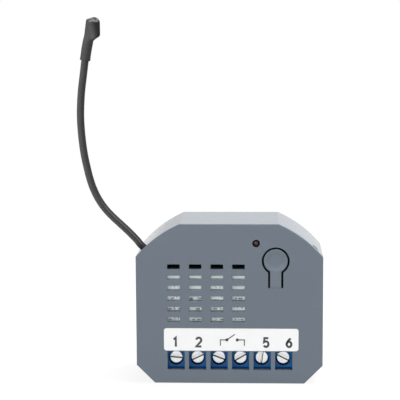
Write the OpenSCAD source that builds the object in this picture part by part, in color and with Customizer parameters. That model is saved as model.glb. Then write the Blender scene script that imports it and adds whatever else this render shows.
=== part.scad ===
// Flush-mount radio relay module with six screw terminals and a wire antenna.
// It stands upright: X to the right, front face towards -Y, Z up, bottom at z = 0.
// All sizes are in millimetres.

/* [Housing] */
// Width of the housing
body_w = 43.2; // [43:0.2:48]
// Height of the housing
body_h = 37.5; // [37.5:0.5:42]
// Depth of the housing, front to back
body_d = 20; // [19:0.5:26]
// Radius of the round wall box that the top corners follow
arc_r = 28.2; // [27.8:0.2:30]
// Distance from the top down to the centre of that circle
arc_drop = 25.8; // [25:0.2:26.2]
// Leg of the straight cuts at the two bottom corners
corner_cut = 4.25; // [2:0.25:4.5]
// Wall of the rear case
wall = 1.6; // [1.2:0.1:1.7]
// Back wall of the rear case
back_t = 1.6; // [1:0.1:2]
// Thickness of the front cover
cover_t = 1.6; // [1.2:0.1:2]
// Bevel round the front edge
front_edge = 0.2; // [0.2:0.05:0.6]
// Bevel round the back edge
back_edge = 0.6; // [0.2:0.1:0.8]

/* [Cover fastening] */
// Gap between the cover's lip and the case wall
lip_gap = 0.15; // [0.1:0.05:0.25]
// Thickness of the lip
lip_t = 0.9; // [0.7:0.1:1.1]
// How far the lip reaches into the case
lip_d = 1.4; // [1.2:0.1:1.8]
// Length of each snap catch
catch_l = 5; // [3:0.5:6]
// How far each catch stands out of the lip
catch_out = 1.1; // [0.8:0.1:1.2]
// Height of the lower pair of catches
catch_low_z = 12; // [11:0.5:13]
// Distance from the top down to the upper pair of catches
catch_drop = 14; // [13:0.5:15.5]

/* [Ventilation] */
// Number of slot columns
vent_cols = 4; // [2:1:4]
// Number of slot rows
vent_rows = 6; // [3:1:6]
// Distance between columns
vent_pitch_x = 5; // [4:0.1:5.2]
// Distance between rows
vent_pitch_z = 2.5; // [2:0.1:2.6]
// Width of a slot
vent_w = 2.9; // [2:0.1:3.4]
// Height of a slot
vent_h = 1.1; // [0.7:0.05:1.3]
// Centre of the first column
vent_x = -12.85; // [-13.4:0.05:-12.4]
// Distance from the label's recess up to the lowest row
vent_rise = 1.97; // [1.7:0.01:2.2]

/* [Button] */
// Centre of the button across the front
button_x = 10.7; // [10.4:0.1:11.2]
// Distance from the top down to the button's centre
button_drop = 8.6; // [8.4:0.1:9]
// Radius of the button pad
pad_r = 2.75; // [2.5:0.05:3]
// Width of the slot that frees the button
pad_slot = 0.45; // [0.3:0.05:0.5]
// Width of the springy stem
stem_w = 2.6; // [2:0.1:3]
// Length of the stem from the pad's centre to its root
stem_l = 6.3; // [6:0.1:6.6]
// Radius of the finger dish at the front
dish_r = 2.35; // [1.8:0.05:2.35]
// Radius of the dish's flat floor
dish_floor_r = 1.5; // [1:0.1:1.7]
// Depth of the finger dish
dish_d = 0.4; // [0.2:0.05:0.5]
// Radius of the boss behind the pad
boss_r = 1.1; // [0.8:0.1:1.3]
// Length of the boss behind the pad
boss_l = 1.2; // [1:0.1:1.4]
// Room between the boss and the switch at rest
press_gap = 0.1; // [0.1:0.02:0.2]

/* [Push switch] */
// Side of the square switch body
switch_w = 6; // [5.6:0.1:6.2]
// Height of the switch body
switch_h = 3.5; // [3:0.1:4]
// Radius of the switch plunger
plunger_r = 1.7; // [1.4:0.1:2]
// How deep the plunger sits in the switch body
plunger_seat = 1.2; // [1:0.1:1.5]
// Depth of the well that the plunger moves in
plunger_well = 1.8; // [1.6:0.1:2.2]
// Running gap round the plunger
plunger_gap = 0.05; // [0.03:0.01:0.1]
// Width of a switch lead
switch_lead_w = 0.7; // [0.5:0.1:0.8]
// Thickness of a switch lead
switch_lead_t = 0.3; // [0.2:0.05:0.4]
// Distance between the two leads on one side
switch_lead_gap = 4.5; // [4:0.1:4.8]

/* [Indicator] */
// Centre of the indicator across the front
led_x = 6.2; // [5.8:0.1:6.4]
// Distance from the top down to the indicator
led_drop = 4.5; // [4.3:0.1:4.8]
// Radius of the hole in the cover
led_hole_r = 0.88; // [0.8:0.02:1]
// Gap between lens and hole
led_gap = 0.06; // [0.04:0.01:0.1]
// How far the lens tip lies behind the front
led_sink = 0.2; // [0.1:0.05:0.4]
// Radius of the lamp body behind the cover
led_body_r = 1.2; // [1.1:0.05:1.3]
// Length of the lamp body
led_body_l = 3; // [2:0.1:4]
// Thickness of a lamp lead
led_lead_t = 0.4; // [0.3:0.05:0.5]
// Distance between the lamp leads
led_lead_pitch = 1.3; // [1.2:0.1:1.6]

/* [Label] */
// Width of the terminal label
label_w = 31.2; // [30.6:0.2:31.6]
// Height of the terminal label
label_h = 5.3; // [4.5:0.1:5.6]
// Thickness of the label, which lies flush in its recess
label_t = 0.12; // [0.08:0.02:0.2]
// Corner radius of the label
label_r = 0.6; // [0.3:0.1:1]
// Centre of the label across the front
label_x = 0.4; // [0:0.1:0.5]
// Gap round the label in its recess
label_gap = 0.04; // [0.02:0.01:0.06]
// Strip of cover between the label's recess and the windows
label_strip = 0.1; // [0.08:0.02:0.3]

/* [Terminals] */
// Number of two-pole terminal blocks
blocks = 3; // [3]
// Distance between neighbouring terminals
pitch = 5; // [5:0.02:5.08]
// Width of a window in the cover
window_w = 4; // [3.7:0.1:4.1]
// Height of a window in the cover
window_h = 4.4; // [4:0.05:4.6]
// How far the windows lie to the right of the screws
window_x = 0.1; // [0:0.05:0.2]
// Height of the windows' lower edge
window_z = 3.2; // [3.2:0.05:3.5]
// Height of the screw axes
screw_z = 5.6; // [5.5:0.05:5.7]
// Height of a block above the board
block_h = 10.1; // [9.8:0.1:10.4]
// Depth of a block, wire side to back
block_l = 8.3; // [8.1:0.1:9]
// Gap between a block and its neighbours
block_gap = 0.1; // [0.05:0.05:0.2]
// Gap between a block's face and the cover
face_gap = 0.2; // [0.1:0.05:0.3]
// Gap between a block and the bottom wall
floor_gap = 0.3; // [0.2:0.05:0.4]
// Bevel on the block's lower front edge
block_bevel = 1.6; // [1:0.1:1.8]
// Radius of a screw head
head_r = 1.5; // [1.4:0.05:1.6]
// Height of a screw head
head_h = 1; // [0.9:0.05:1.2]
// Bevel on a screw head
head_bevel = 0.1; // [0.1:0.05:0.4]
// Width of the screwdriver slot
slot_w = 0.5; // [0.4:0.05:0.7]
// Depth of the screwdriver slot
slot_d = 0.55; // [0.4:0.05:0.6]
// How deep the head lies below the block's face
head_sink = 0.9; // [0.7:0.05:1]
// Gap round a screw head
head_gap = 0.26; // [0.15:0.01:0.3]
// Radius of the screw shank
shank_r = 1.2; // [1:0.05:1.25]
// Length of the screw shank
shank_l = 4; // [3.9:0.05:4.1]
// Thread clearance between shank and cage
thread_gap = 0.05; // [0.03:0.01:0.08]
// Web of the block that carries the screw head
web_t = 0.9; // [0.7:0.05:1]
// Width of a wire cage
cage_w = 3.6; // [3.4:0.05:3.7]
// Length of a wire cage along the wire
cage_l = 4; // [3.6:0.1:4]
// Height of a wire cage
cage_h = 5; // [4.9:0.05:5.1]
// Threaded top plate of a cage
cage_top = 1; // [0.8:0.05:1.1]
// Floor of a cage
cage_floor = 0.6; // [0.5:0.05:0.8]
// Side wall of a cage
cage_side = 0.5; // [0.4:0.05:0.55]
// Gap round a cage in its chamber
cage_gap = 0.15; // [0.1:0.01:0.2]
// Thickness of a contact bar
bar_t = 0.8; // [0.6:0.05:0.9]
// Width of a contact bar
bar_w = 2.1; // [1.6:0.1:2.2]
// Gap between screw tip and contact bar
tip_gap = 0.2; // [0.15:0.05:0.3]
// Gap round a contact bar in its block
bar_gap = 0.05; // [0.03:0.01:0.08]
// Width of a solder pin
pin_w = 1; // [0.8:0.05:1.1]
// How far solder pins stand out behind the board
pin_out = 1; // [0.6:0.1:1.5]
// Width of a wire opening, through the bottom wall and the block
entry_w = 4.1; // [3.6:0.05:4.2]
// Depth of a wire opening, front to back
entry_h = 4.1; // [3.6:0.05:4.2]
// Wall of a block between its wire openings and the board
entry_rim = 0.25; // [0.2:0.05:0.4]

/* [Circuit board] */
// Thickness of the circuit board
board_t = 1.6; // [1:0.1:1.6]
// Gap between board and case wall
board_gap = 0.4; // [0.3:0.05:0.6]
// Radius of the posts behind the board
post_r = 1.4; // [1.2:0.1:1.5]
// Radius of the locating pins on the posts
stake_r = 0.7; // [0.5:0.05:0.8]
// Gap round pins in the board
hole_gap = 0.08; // [0.05:0.01:0.12]
// Distance of the lower posts from the board's side edges
post_in = 1.7; // [1.6:0.1:2]
// Height of the lower posts
post_z = 8; // [6:0.5:10]
// Distance of the upper posts from the middle
post_high_x = 15.1; // [15:0.1:15.3]
// Distance of the upper posts from the top
post_high_drop = 7.1; // [6.9:0.1:7.2]

/* [Relay] */
// Width of the relay
relay_w = 20.2; // [19.6:0.2:20.6]
// Length of the relay on the board, bottom to top
relay_l = 12.6; // [12.4:0.1:13]
// Height of the relay above the board
relay_h = 9.7; // [9.4:0.1:9.9]
// Wall of the relay case
relay_wall = 0.5; // [0.4:0.05:0.6]
// Thickness of the relay base
relay_base_t = 1.2; // [1:0.1:1.3]
// Thickness of the iron yoke and armature
iron_t = 1; // [0.8:0.05:1.1]
// Width of the iron yoke and armature
iron_w = 7.5; // [6:0.1:7.6]
// Radius of the iron core
core_r = 1.5; // [1.2:0.1:1.6]
// Height of the core axis above the relay base
core_h = 4; // [3.9:0.1:4.1]
// Outer radius of the coil
coil_r = 2.75; // [2.4:0.05:2.8]
// Wall of the bobbin tube and its cheeks
bobbin_t = 0.5; // [0.4:0.05:0.6]
// Gap between the core and the armature at rest
pole_gap = 0.55; // [0.5:0.05:0.7]
// Space kept for the contacts behind the armature
contact_room = 3.2; // [2.8:0.1:3.6]
// Thickness of the contact spring
leaf_t = 0.2; // [0.15:0.05:0.3]
// How far the contact spring reaches over the armature
leaf_in = 1; // [0.8:0.1:1.2]
// Height of the contacts above the core axis
contact_rise = 1.8; // [1.6:0.1:2]
// Gap between the armature and the contacts beside it
contact_side = 0.2; // [0.15:0.05:0.3]
// Radius of a contact button
contact_r = 0.7; // [0.5:0.05:0.75]
// Opening between the contacts at rest
contact_gap = 0.5; // [0.5:0.05:0.6]
// Radius of a relay pin
relay_pin_r = 0.45; // [0.35:0.05:0.5]

/* [Power supply] */
// Radius of the mains capacitor
hv_cap_r = 3.4; // [3:0.1:3.5]
// Height of the mains capacitor
hv_cap_h = 9.2; // [8:0.1:9.8]
// Radius of the output capacitor
lv_cap_r = 2.4; // [2:0.1:2.5]
// Height of the output capacitor
lv_cap_h = 7.5; // [6:0.1:9]
// Groove near the foot of a capacitor can
cap_groove = 0.3; // [0.2:0.05:0.4]
// Radius of the choke
choke_r = 2.9; // [2.5:0.1:2.9]
// Height of the choke
choke_h = 7; // [6:0.1:9]
// Thickness of the choke's flanges
choke_flange = 1; // [0.8:0.1:1.3]
// Width of the film capacitor
film_w = 6; // [5:0.1:6.2]
// Depth of the film capacitor along the board
film_l = 4.2; // [3.5:0.1:4.4]
// Height of the film capacitor
film_h = 8; // [6:0.1:9]
// Radius of the varistor disc
varistor_r = 3.2; // [2.6:0.1:3.4]
// Thickness of the varistor disc
varistor_t = 2; // [1.5:0.1:2.2]
// Radius of the fuse resistor
fuse_r = 1.2; // [0.9:0.1:1.3]
// Height of the fuse resistor
fuse_h = 6; // [5:0.1:8]
// Radius of thin component leads
lead_r = 0.3; // [0.2:0.05:0.4]
// Side of the power chip
chip_w = 5; // [4:0.1:5.5]
// Height of the chips behind the board
chip_h = 1.5; // [1:0.1:2]

/* [Radio] */
// Width of the radio board
radio_w = 13; // [11:0.2:13.2]
// Height of the radio board
radio_l = 7.4; // [6.5:0.1:7.6]
// Thickness of the radio board
radio_t = 1; // [0.8:0.1:1.2]
// Distance from the relay's left side in to the radio board
radio_in = 4.1; // [3.8:0.1:4.4]
// Margin round the shielding can
shield_in = 1; // [0.6:0.1:1.6]
// Height of the shielding can
shield_h = 1.8; // [1.2:0.1:2.4]
// Sheet thickness of the shielding can
shield_t = 0.2; // [0.15:0.05:0.3]

/* [Antenna] */
// Radius of the antenna lead
antenna_r = 0.86; // [0.7:0.02:0.86]
// Radius of the notches that the lead can leave by
notch_r = 0.92; // [0.9:0.02:1]
// Angle from the lower end of a shoulder up to its notch, in degrees
notch_up = 5; // [4:0.5:6]
// Rise of the antenna lead, from its notch up to its sleeve
antenna_rise = 43.2; // [35:0.2:50]
// Lean of the antenna's end, in degrees from upright
sleeve_lean = 8.5; // [0:0.5:15]
// Room kept between the relay and the antenna's tail
tail_room = 1; // [0.8:0.05:1.2]
// Outer radius of the sleeve on the antenna's end
sleeve_r = 1.2; // [1.1:0.05:1.3]
// Length of the round part of the sleeve
sleeve_l = 5; // [4:0.1:5.5]
// Gap between lead and sleeve
sleeve_gap = 0.03; // [0.02:0.01:0.06]
// How deep the lead reaches into the sleeve
sleeve_bore = 3.6; // [3:0.1:3.8]
// Width of the pinched end of the sleeve
pinch_w = 3.2; // [2.6:0.1:3.6]
// Thickness of the pinched end of the sleeve
pinch_t = 1.5; // [1:0.1:2]
// Length of the pinched end of the sleeve
pinch_l = 5; // [4:0.1:6]

/* [Hidden] */

// Colours as the object shows them
grey_plastic = [0.44, 0.48, 0.52];
blue_plastic = [0.08, 0.27, 0.51];
pale_plastic = [0.80, 0.82, 0.80];
black_rubber = [0.10, 0.10, 0.11];
dark_plastic = [0.13, 0.13, 0.14];
white_paper = [0.97, 0.97, 0.96];
board_green = [0.05, 0.28, 0.16];
zinc = [0.82, 0.83, 0.84];
tin = [0.72, 0.72, 0.70];
copper = [0.72, 0.40, 0.20];
lamp_red = [0.22, 0.05, 0.04];

// A little more than the solids, so that cuts pass right through
over = 0.5;
// Larger than the whole object, for half-space cuts
far = 120;

// Planes from front to back
front = -body_d / 2;
back = body_d / 2;
cover_in = front + cover_t;
block_face = cover_in + face_gap;
board_y = block_face + block_h;
board_back = board_y + board_t;
back_in = back - back_t;
antenna_y = cover_in + notch_r;

// Heights of the main features
arc_z = body_h - arc_drop;
button_z = body_h - button_drop;
root_z = button_z - stem_l;
led_z = body_h - led_drop;
label_z = window_z + window_h + label_strip + label_gap;
label_top = label_z + label_h + label_gap;
vent_z = label_top + vent_rise;
catch_high_z = body_h - catch_drop;
block_z = wall + floor_gap;
block_top = block_z + block_l;

// Terminals
poles = 2 * blocks;
function pole_x(i) = (i - (poles - 1) / 2) * pitch;
function block_x(k) = (2 * k - (blocks - 1)) * pitch;
head_top = block_face + head_sink;
head_under = head_top + head_h;
screw_tip = head_under + shank_l;
bar_y = screw_tip + tip_gap;
bar_under = bar_y + bar_t;
// The cage hangs open at rest, its threaded plate just clear of the bar
plate_under = bar_y - 2 * tip_gap;
cage_y = plate_under - cage_top;
cage_under = cage_y + cage_h;
cage_floor_y = cage_under - cage_floor;
entry_y = board_y - entry_rim - entry_h / 2;
cage_z0 = screw_z - cage_l / 2;
chamber_z0 = cage_z0 - cage_gap;
chamber_z1 = cage_z0 + cage_l + cage_gap;
bar_z0 = cage_z0;
bar_z1 = chamber_z1 + pin_w;
pin_z = bar_z1 - pin_w / 2;
// How far each screw was last turned, in degrees from level
slot_turns = [-4, 26, -21, 31, 82, -27];

// Push switch
plunger_tip = cover_in + boss_l + press_gap;
switch_top = board_y - switch_h;

// Across the board stand the parts left of the relay, the relay, the choke and the mains capacitor.
// The width that they leave free is shared out beside and between them.
left_w = max(varistor_t, 2 * fuse_r);
spare_w = body_w - 2 * wall - left_w - relay_w - 2 * choke_r - 2 * hv_cap_r;
side_gap = 0.28 * spare_w;
part_gap = (spare_w - 2 * side_gap) / 3;
// Up the board stand the relay and the radio board, with the free height shared out in the same way
spare_h = body_h - wall - block_top - relay_l - radio_l;
relay_rise = 0.58 * spare_h;
radio_rise = 0.25 * spare_h;

// Relay: its lower left corner on the board
relay_left = -body_w / 2 + wall + side_gap + left_w + part_gap;
relay_right = relay_left + relay_w;
relay_z = block_top + relay_rise;
relay_top = relay_z + relay_l;
fit_in = 0.05;
iron_v = relay_l / 2 - iron_w / 2;
armature_u = relay_w - contact_room - iron_t;
core_end = armature_u - pole_gap;
yoke_end = armature_u - 3 * fit_in;
yoke_u = relay_wall + 8 * fit_in;
bobbin_u0 = yoke_u + iron_t + fit_in;
bobbin_u1 = core_end - fit_in;
axis_h = relay_base_t + core_h;
contact_h = axis_h + contact_rise;
contact_v = iron_v + iron_w + contact_r + contact_side;
leaf_u = armature_u + iron_t;
radio_x = relay_left + radio_in + radio_w / 2;
radio_z = relay_top + radio_rise;

// Right of the relay: choke and mains capacitor below, film and output capacitor above them
spare_up = button_z - switch_w / 2 - block_top - 2 * choke_r - film_l;
spare_right = body_w / 2 - wall - relay_right - film_w - 2 * lv_cap_r;
choke_x = relay_right + part_gap + choke_r;
choke_z = block_top + spare_up / 3 + choke_r;
hv_x = choke_x + choke_r + part_gap + hv_cap_r;
hv_z = block_top + 2 * part_gap + hv_cap_r;
film_x = relay_right + spare_right / 3 + film_w / 2;
film_z = choke_z + choke_r + spare_up / 3 + film_l / 2;
lv_x = film_x + film_w / 2 + spare_right / 3 + lv_cap_r;
lv_z = hv_z + hv_cap_r + part_gap + lv_cap_r;
// Left of the relay: fuse resistor below, varistor above it
varistor_x = relay_left - part_gap - varistor_t / 2;
varistor_z = relay_z + 0.6 * relay_l;
fuse_x = relay_left - part_gap - fuse_r;
fuse_z = relay_z + relay_l / 8;

// Posts that carry the board
post_low_x = body_w / 2 - wall - board_gap - post_in;
post_places = [
    [-post_low_x, post_z], [post_low_x, post_z],
    [-post_high_x, body_h - post_high_drop], [post_high_x, body_h - post_high_drop]
];

// Antenna: the way out, the tail inside the case, and the free lead with its sleeve
notch_angle = asin(body_w / 2 / arc_r) - notch_up;
out_dir = [-sin(notch_angle), 0, cos(notch_angle)];
exit_point = [0, antenna_y, arc_z] + arc_r * out_dir;
tail_foot = [relay_left + tail_room, board_y, relay_top + antenna_r + tail_room];
tail_points = [
    tail_foot,
    tail_foot - [0, 2 * antenna_r, 0],
    tail_foot - [0, 5 * antenna_r, 0],
    [tail_foot.x, antenna_y, tail_foot.z] + antenna_r * [-0.5, 4, 0.25],
    [tail_foot.x, antenna_y, tail_foot.z] + antenna_r * [-1.6, 1.2, 0.5],
    exit_point - 5 * antenna_r * out_dir,
    exit_point - 2.5 * antenna_r * out_dir,
    exit_point
];
// The lead's route as the photograph shows it: places to the side of its notch and above it
lead_route = [
    [-1.5, 1.7], [-3.3, 3.6], [-5.3, 5.5], [-7.2, 7.3], [-8.9, 9.2], [-10.3, 11.3],
    [-11.4, 13.6], [-12.2, 16], [-12.8, 18.5], [-13.4, 21.5], [-13.8, 24.5], [-14.05, 27.5],
    [-14.15, 30.5], [-14.05, 33.5], [-13.8, 36.5], [-13.4, 39.5], [-12.9, 43.2]
];
lead_end = len(lead_route) - 1;
lead_size = antenna_rise / lead_route[lead_end].y;
function lead_place(i) = exit_point + lead_size * [lead_route[i].x, 0, lead_route[i].y];
sleeve_dir = [sin(sleeve_lean), 0, cos(sleeve_lean)];
sleeve_foot = lead_place(lead_end);
lead_points = [
    exit_point,
    exit_point + antenna_r * out_dir,
    for (i = [0 : lead_end]) lead_place(i),
    sleeve_foot + sleeve_bore * sleeve_dir
];

// A box from one corner to the opposite one
module block_from(a, b) {
    translate(a) cube(b - a);
}

// Everything on the far side of a plane through p with outward normal n
module beyond(p, n) {
    translate(p)
        rotate([0, acos(n.z / norm(n)), atan2(n.y, n.x)])
            translate([-far, -far, 0]) cube([2 * far, 2 * far, far]);
}

// A cylinder along the depth of the object, from y0 to y1
module depth_rod(x, z, r, y0, y1) {
    translate([x, y1, z]) rotate([90, 0, 0]) cylinder(r = r, h = y1 - y0, $fn = 64);
}

// The housing's outline, drawn in by inset, from y0 to y1
module outline(y0, y1, inset) {
    half = body_w / 2 - inset;
    difference() {
        intersection() {
            block_from([-half, y0, inset], [half, y1, body_h - inset]);
            translate([0, y1, arc_z]) rotate([90, 0, 0]) cylinder(r = arc_r - inset, h = y1 - y0, $fn = 180);
        }
        for (side = [-1, 1]) {
            cut_x = body_w / 2 - corner_cut - inset * sqrt(2);
            beyond([side * cut_x, y0, 0], [side, 0, -1]);
        }
    }
}

// Material to take off for a bevel round the front edge of the outline
module front_bevel(bevel) {
    half = body_w / 2 - bevel;
    cut_x = body_w / 2 - corner_cut - bevel * sqrt(2);
    beyond([0, front, body_h - bevel], [0, -1, 1]);
    beyond([0, front, bevel], [0, -1, -1]);
    for (side = [-1, 1]) {
        beyond([side * half, front, 0], [side, -1, 0]);
        beyond([side * cut_x, front, 0], [side, -sqrt(2), -1]);
    }
    translate([0, front, arc_z]) rotate([-90, 0, 0]) difference() {
        translate([0, 0, -over]) cylinder(r = far / 2, h = bevel + over, $fn = 180);
        translate([0, 0, -over])
            cylinder(r1 = arc_r - bevel - over, r2 = arc_r, h = bevel + over, $fn = 180);
    }
}

// A plate with round corners in the plane of the front
module round_plate(w, h, r, y0, y1) {
    block_from([-w / 2 + r, y0, -h / 2], [w / 2 - r, y1, h / 2]);
    block_from([-w / 2, y0, -h / 2 + r], [w / 2, y1, h / 2 - r]);
    for (x = [-1, 1], z = [-1, 1]) depth_rod(x * (w / 2 - r), z * (h / 2 - r), r, y0, y1);
}

// The round pad and its stem, drawn out by grow
module keyhole(grow, y0, y1) {
    depth_rod(button_x, button_z, pad_r + grow, y0, y1);
    block_from(
        [button_x - stem_w / 2 - grow, y0, root_z],
        [button_x + stem_w / 2 + grow, y1, button_z]
    );
}

// The notch at one shoulder, open towards the cover
module shoulder_notch(side, r, y0) {
    translate([0, antenna_y, arc_z]) rotate([0, side * notch_angle, 0])
        translate([0, 0, arc_r - wall - lip_gap - lip_t - over]) {
            cylinder(r = r, h = wall + lip_gap + lip_t + 2 * over, $fn = 48);
            translate([-r, y0 - antenna_y, 0])
                cube([2 * r, antenna_y - y0, wall + lip_gap + lip_t + 2 * over]);
        }
}

// One snap catch of the cover, at the side and height given
module snap_catch(side, z) {
    lip_x = body_w / 2 - wall - lip_gap;
    root_x = lip_x - lip_t / 2;
    step_y = cover_in + 0.4 * lip_d;
    mirror([side < 0 ? 1 : 0, 0, 0])
        translate([0, 0, z - catch_l / 2]) linear_extrude(catch_l)
            polygon([
                [root_x, step_y],
                [lip_x + catch_out, step_y],
                [lip_x + catch_out, step_y + 0.2 * lip_d],
                [root_x, cover_in + lip_d]
            ]);
}

// A tube of round section swept along points; side_dir is never along the route
function unit(v) = v / norm(v);
function way(points, i) =
    unit(points[min(i + 1, len(points) - 1)] - points[max(i - 1, 0)]);
function ring(centre, along, side_dir, r, sides) =
    let (a = unit(cross(along, side_dir)), b = cross(a, along))
    [for (i = [0 : sides - 1]) centre + r * (cos(360 * i / sides) * a + sin(360 * i / sides) * b)];
module tube(points, side_dir, r, sides = 8) {
    rings = len(points);
    spots = [
        for (i = [0 : rings - 1])
            each ring(points[i], way(points, i), side_dir, r, sides)
    ];
    walls = [
        for (i = [0 : rings - 2], j = [0 : sides - 1])
            let (a = i * sides + j, b = i * sides + (j + 1) % sides)
            each [[a, a + sides, b], [b, a + sides, b + sides]]
    ];
    first_end = [[for (j = [0 : sides - 1]) j]];
    last_end = [[for (j = [sides - 1 : -1 : 0]) (rings - 1) * sides + j]];
    polyhedron(points = spots, faces = concat(walls, first_end, last_end));
}

// Front cover: plate with slots, windows, label recess, lip and catches
module front_cover() {
    color(grey_plastic) {
        difference() {
            outline(front, cover_in, 0);
            front_bevel(front_edge);
            for (col = [0 : vent_cols - 1], row = [0 : vent_rows - 1])
                translate([vent_x + col * vent_pitch_x, front + cover_t / 2, vent_z + row * vent_pitch_z])
                    cube([vent_w, cover_t + 2 * over, vent_h], center = true);
            for (i = [0 : poles - 1])
                translate([pole_x(i) + window_x, front + cover_t / 2, window_z + window_h / 2])
                    cube([window_w, cover_t + 2 * over, window_h], center = true);
            depth_rod(led_x, led_z, led_hole_r, front - over, cover_in + over);
            keyhole(pad_slot, front - over, cover_in + over);
            translate([label_x, 0, label_z + label_h / 2])
                round_plate(label_w + 2 * label_gap, label_h + 2 * label_gap, label_r,
                            front - over, front + label_t);
        }
        difference() {
            union() {
                outline(cover_in, cover_in + lip_d, wall + lip_gap);
                for (side = [-1, 1], z = [catch_low_z, catch_high_z]) snap_catch(side, z);
            }
            outline(cover_in - over, cover_in + lip_d + over, wall + lip_gap + lip_t);
            block_from(
                [-(blocks * pitch + over), cover_in - over, 0],
                [blocks * pitch + over, cover_in + lip_d + over, block_top + over]
            );
            for (side = [-1, 1]) shoulder_notch(side, notch_r + over, cover_in - over);
        }
    }
}

// Rear case: tub with wire openings, catch windows, notches and board posts
module rear_case() {
    color(grey_plastic) {
        difference() {
            outline(cover_in, back, 0);
            mirror([0, 1, 0]) front_bevel(back_edge);
            outline(cover_in - over, back_in, wall);
            for (i = [0 : poles - 1])
                translate([pole_x(i), entry_y, wall / 2])
                    cube([entry_w, entry_h, wall + 2 * over], center = true);
            for (side = [-1, 1], z = [catch_low_z, catch_high_z])
                translate([side * (body_w / 2 - wall / 2), cover_in + 0.75 * lip_d, z])
                    cube([wall + 2 * over, 0.8 * lip_d, catch_l + 2 * lip_gap], center = true);
            for (side = [-1, 1]) shoulder_notch(side, notch_r, cover_in - over);
        }
        for (place = post_places) {
            depth_rod(place.x, place.y, post_r, board_back, back_in);
            depth_rod(place.x, place.y, stake_r, board_y - stake_r / 2, back_in);
        }
    }
}

// White label strip over the terminals
module terminal_label() {
    color(white_paper) translate([label_x, 0, label_z + label_h / 2])
        round_plate(label_w, label_h, label_r, front, front + label_t);
}

// Springy button cut out of the cover, with its finger dish and boss
module button_tongue() {
    dish_slope = (dish_r - dish_floor_r) / dish_d;
    color(grey_plastic) {
        difference() {
            keyhole(0, front, cover_in);
            translate([button_x, front + dish_d, button_z]) rotate([90, 0, 0])
                cylinder(r1 = dish_floor_r, r2 = dish_r + dish_slope * over, h = dish_d + over, $fn = 96);
        }
        depth_rod(button_x, button_z, boss_r, cover_in, cover_in + boss_l);
    }
}

// Hole through the board, wide enough for a pin of radius r
module board_hole(x, z, r) {
    depth_rod(x, z, r + hole_gap, board_y - over, board_back + over);
}

// Where the relay's and the switch's pins go through the board
relay_pin_places = [
    for (u = [0.08, 0.92], v = [0.2, 0.8]) [relay_left + u * relay_w, relay_z + v * relay_l],
    [relay_left + 0.62 * relay_w, relay_z + 0.5 * relay_l]
];
switch_lead_places = [
    for (x = [-1, 1], z = [-1, 1])
        [button_x + x * (switch_w / 2 - switch_lead_w), button_z + z * switch_lead_gap / 2]
];
led_lead_places = [for (x = [-1, 1]) [led_x + x * led_lead_pitch / 2, led_z]];

// Circuit board with its holes
module pcb() {
    pin_corner = norm([pin_w, bar_t]) / 2;
    switch_corner = norm([switch_lead_w, switch_lead_t]) / 2;
    color(board_green) difference() {
        outline(board_y, board_back, wall + board_gap);
        for (place = post_places) board_hole(place.x, place.y, stake_r);
        for (i = [0 : poles - 1]) board_hole(pole_x(i), pin_z, pin_corner);
        for (place = relay_pin_places) board_hole(place.x, place.y, relay_pin_r);
        for (place = switch_lead_places) board_hole(place.x, place.y, switch_corner);
        for (place = led_lead_places) board_hole(place.x, place.y, led_lead_t * sqrt(2) / 2);
    }
}

// Indicator lamp with its round-nosed lens in the cover's hole
module status_led() {
    lens_r = led_hole_r - led_gap;
    body_y = cover_in + lens_r;
    color(lamp_red) {
        depth_rod(led_x, led_z, lens_r, front + led_sink + lens_r, body_y);
        translate([led_x, front + led_sink + lens_r, led_z]) sphere(r = lens_r, $fn = 64);
        depth_rod(led_x, led_z, led_body_r, body_y, body_y + led_body_l);
    }
}

// Leads that carry the lamp up to the cover
module led_leads() {
    lead_top = cover_in + led_hole_r - led_gap + led_body_l;
    color(tin) for (place = led_lead_places)
        block_from(
            [place.x - led_lead_t / 2, lead_top, place.y - led_lead_t / 2],
            [place.x + led_lead_t / 2, board_back + pin_out, place.y + led_lead_t / 2]
        );
}

// Push switch body with the plunger's well
module switch_body() {
    color(dark_plastic) difference() {
        block_from(
            [button_x - switch_w / 2, switch_top, button_z - switch_w / 2],
            [button_x + switch_w / 2, board_y, button_z + switch_w / 2]
        );
        depth_rod(button_x, button_z, plunger_r + plunger_gap, switch_top - over, switch_top + plunger_well);
    }
}

// Tall plunger of the push switch
module switch_plunger() {
    color(dark_plastic) depth_rod(button_x, button_z, plunger_r, plunger_tip, switch_top + plunger_seat);
}

// Four flat leads of the push switch
module switch_leads() {
    color(tin) for (place = switch_lead_places)
        block_from(
            [place.x - switch_lead_w / 2, board_y, place.y - switch_lead_t / 2],
            [place.x + switch_lead_w / 2, board_back + pin_out, place.y + switch_lead_t / 2]
        );
}

// Everything that is hollow at one pole of a terminal block
module pole_hollow(x) {
    depth_rod(x, screw_z, head_r + head_gap, block_face - over, head_under);
    depth_rod(x, screw_z, shank_r + 2 * thread_gap, head_under - over, head_under + web_t + over);
    block_from(
        [x - cage_w / 2 - cage_gap, head_under + web_t, chamber_z0],
        [x + cage_w / 2 + cage_gap, board_y + over, chamber_z1]
    );
    block_from(
        [x - bar_w / 2 - bar_gap, bar_y - bar_gap, chamber_z0],
        [x + bar_w / 2 + bar_gap, board_y + over, bar_z1 + bar_gap]
    );
    block_from(
        [x - entry_w / 2, entry_y - entry_h / 2, block_z - over],
        [x + entry_w / 2, entry_y + entry_h / 2, chamber_z0]
    );
}

// Blue two-pole terminal block
module terminal_block(k) {
    half = pitch - block_gap / 2;
    color(blue_plastic) difference() {
        intersection() {
            block_from([block_x(k) - half, block_face, block_z], [block_x(k) + half, board_y, block_top]);
            outline(block_face, board_y, wall + floor_gap);
        }
        beyond([0, block_face, block_z + block_bevel], [0, -1, -1]);
        for (i = [2 * k, 2 * k + 1]) pole_hollow(pole_x(i));
    }
}

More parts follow.
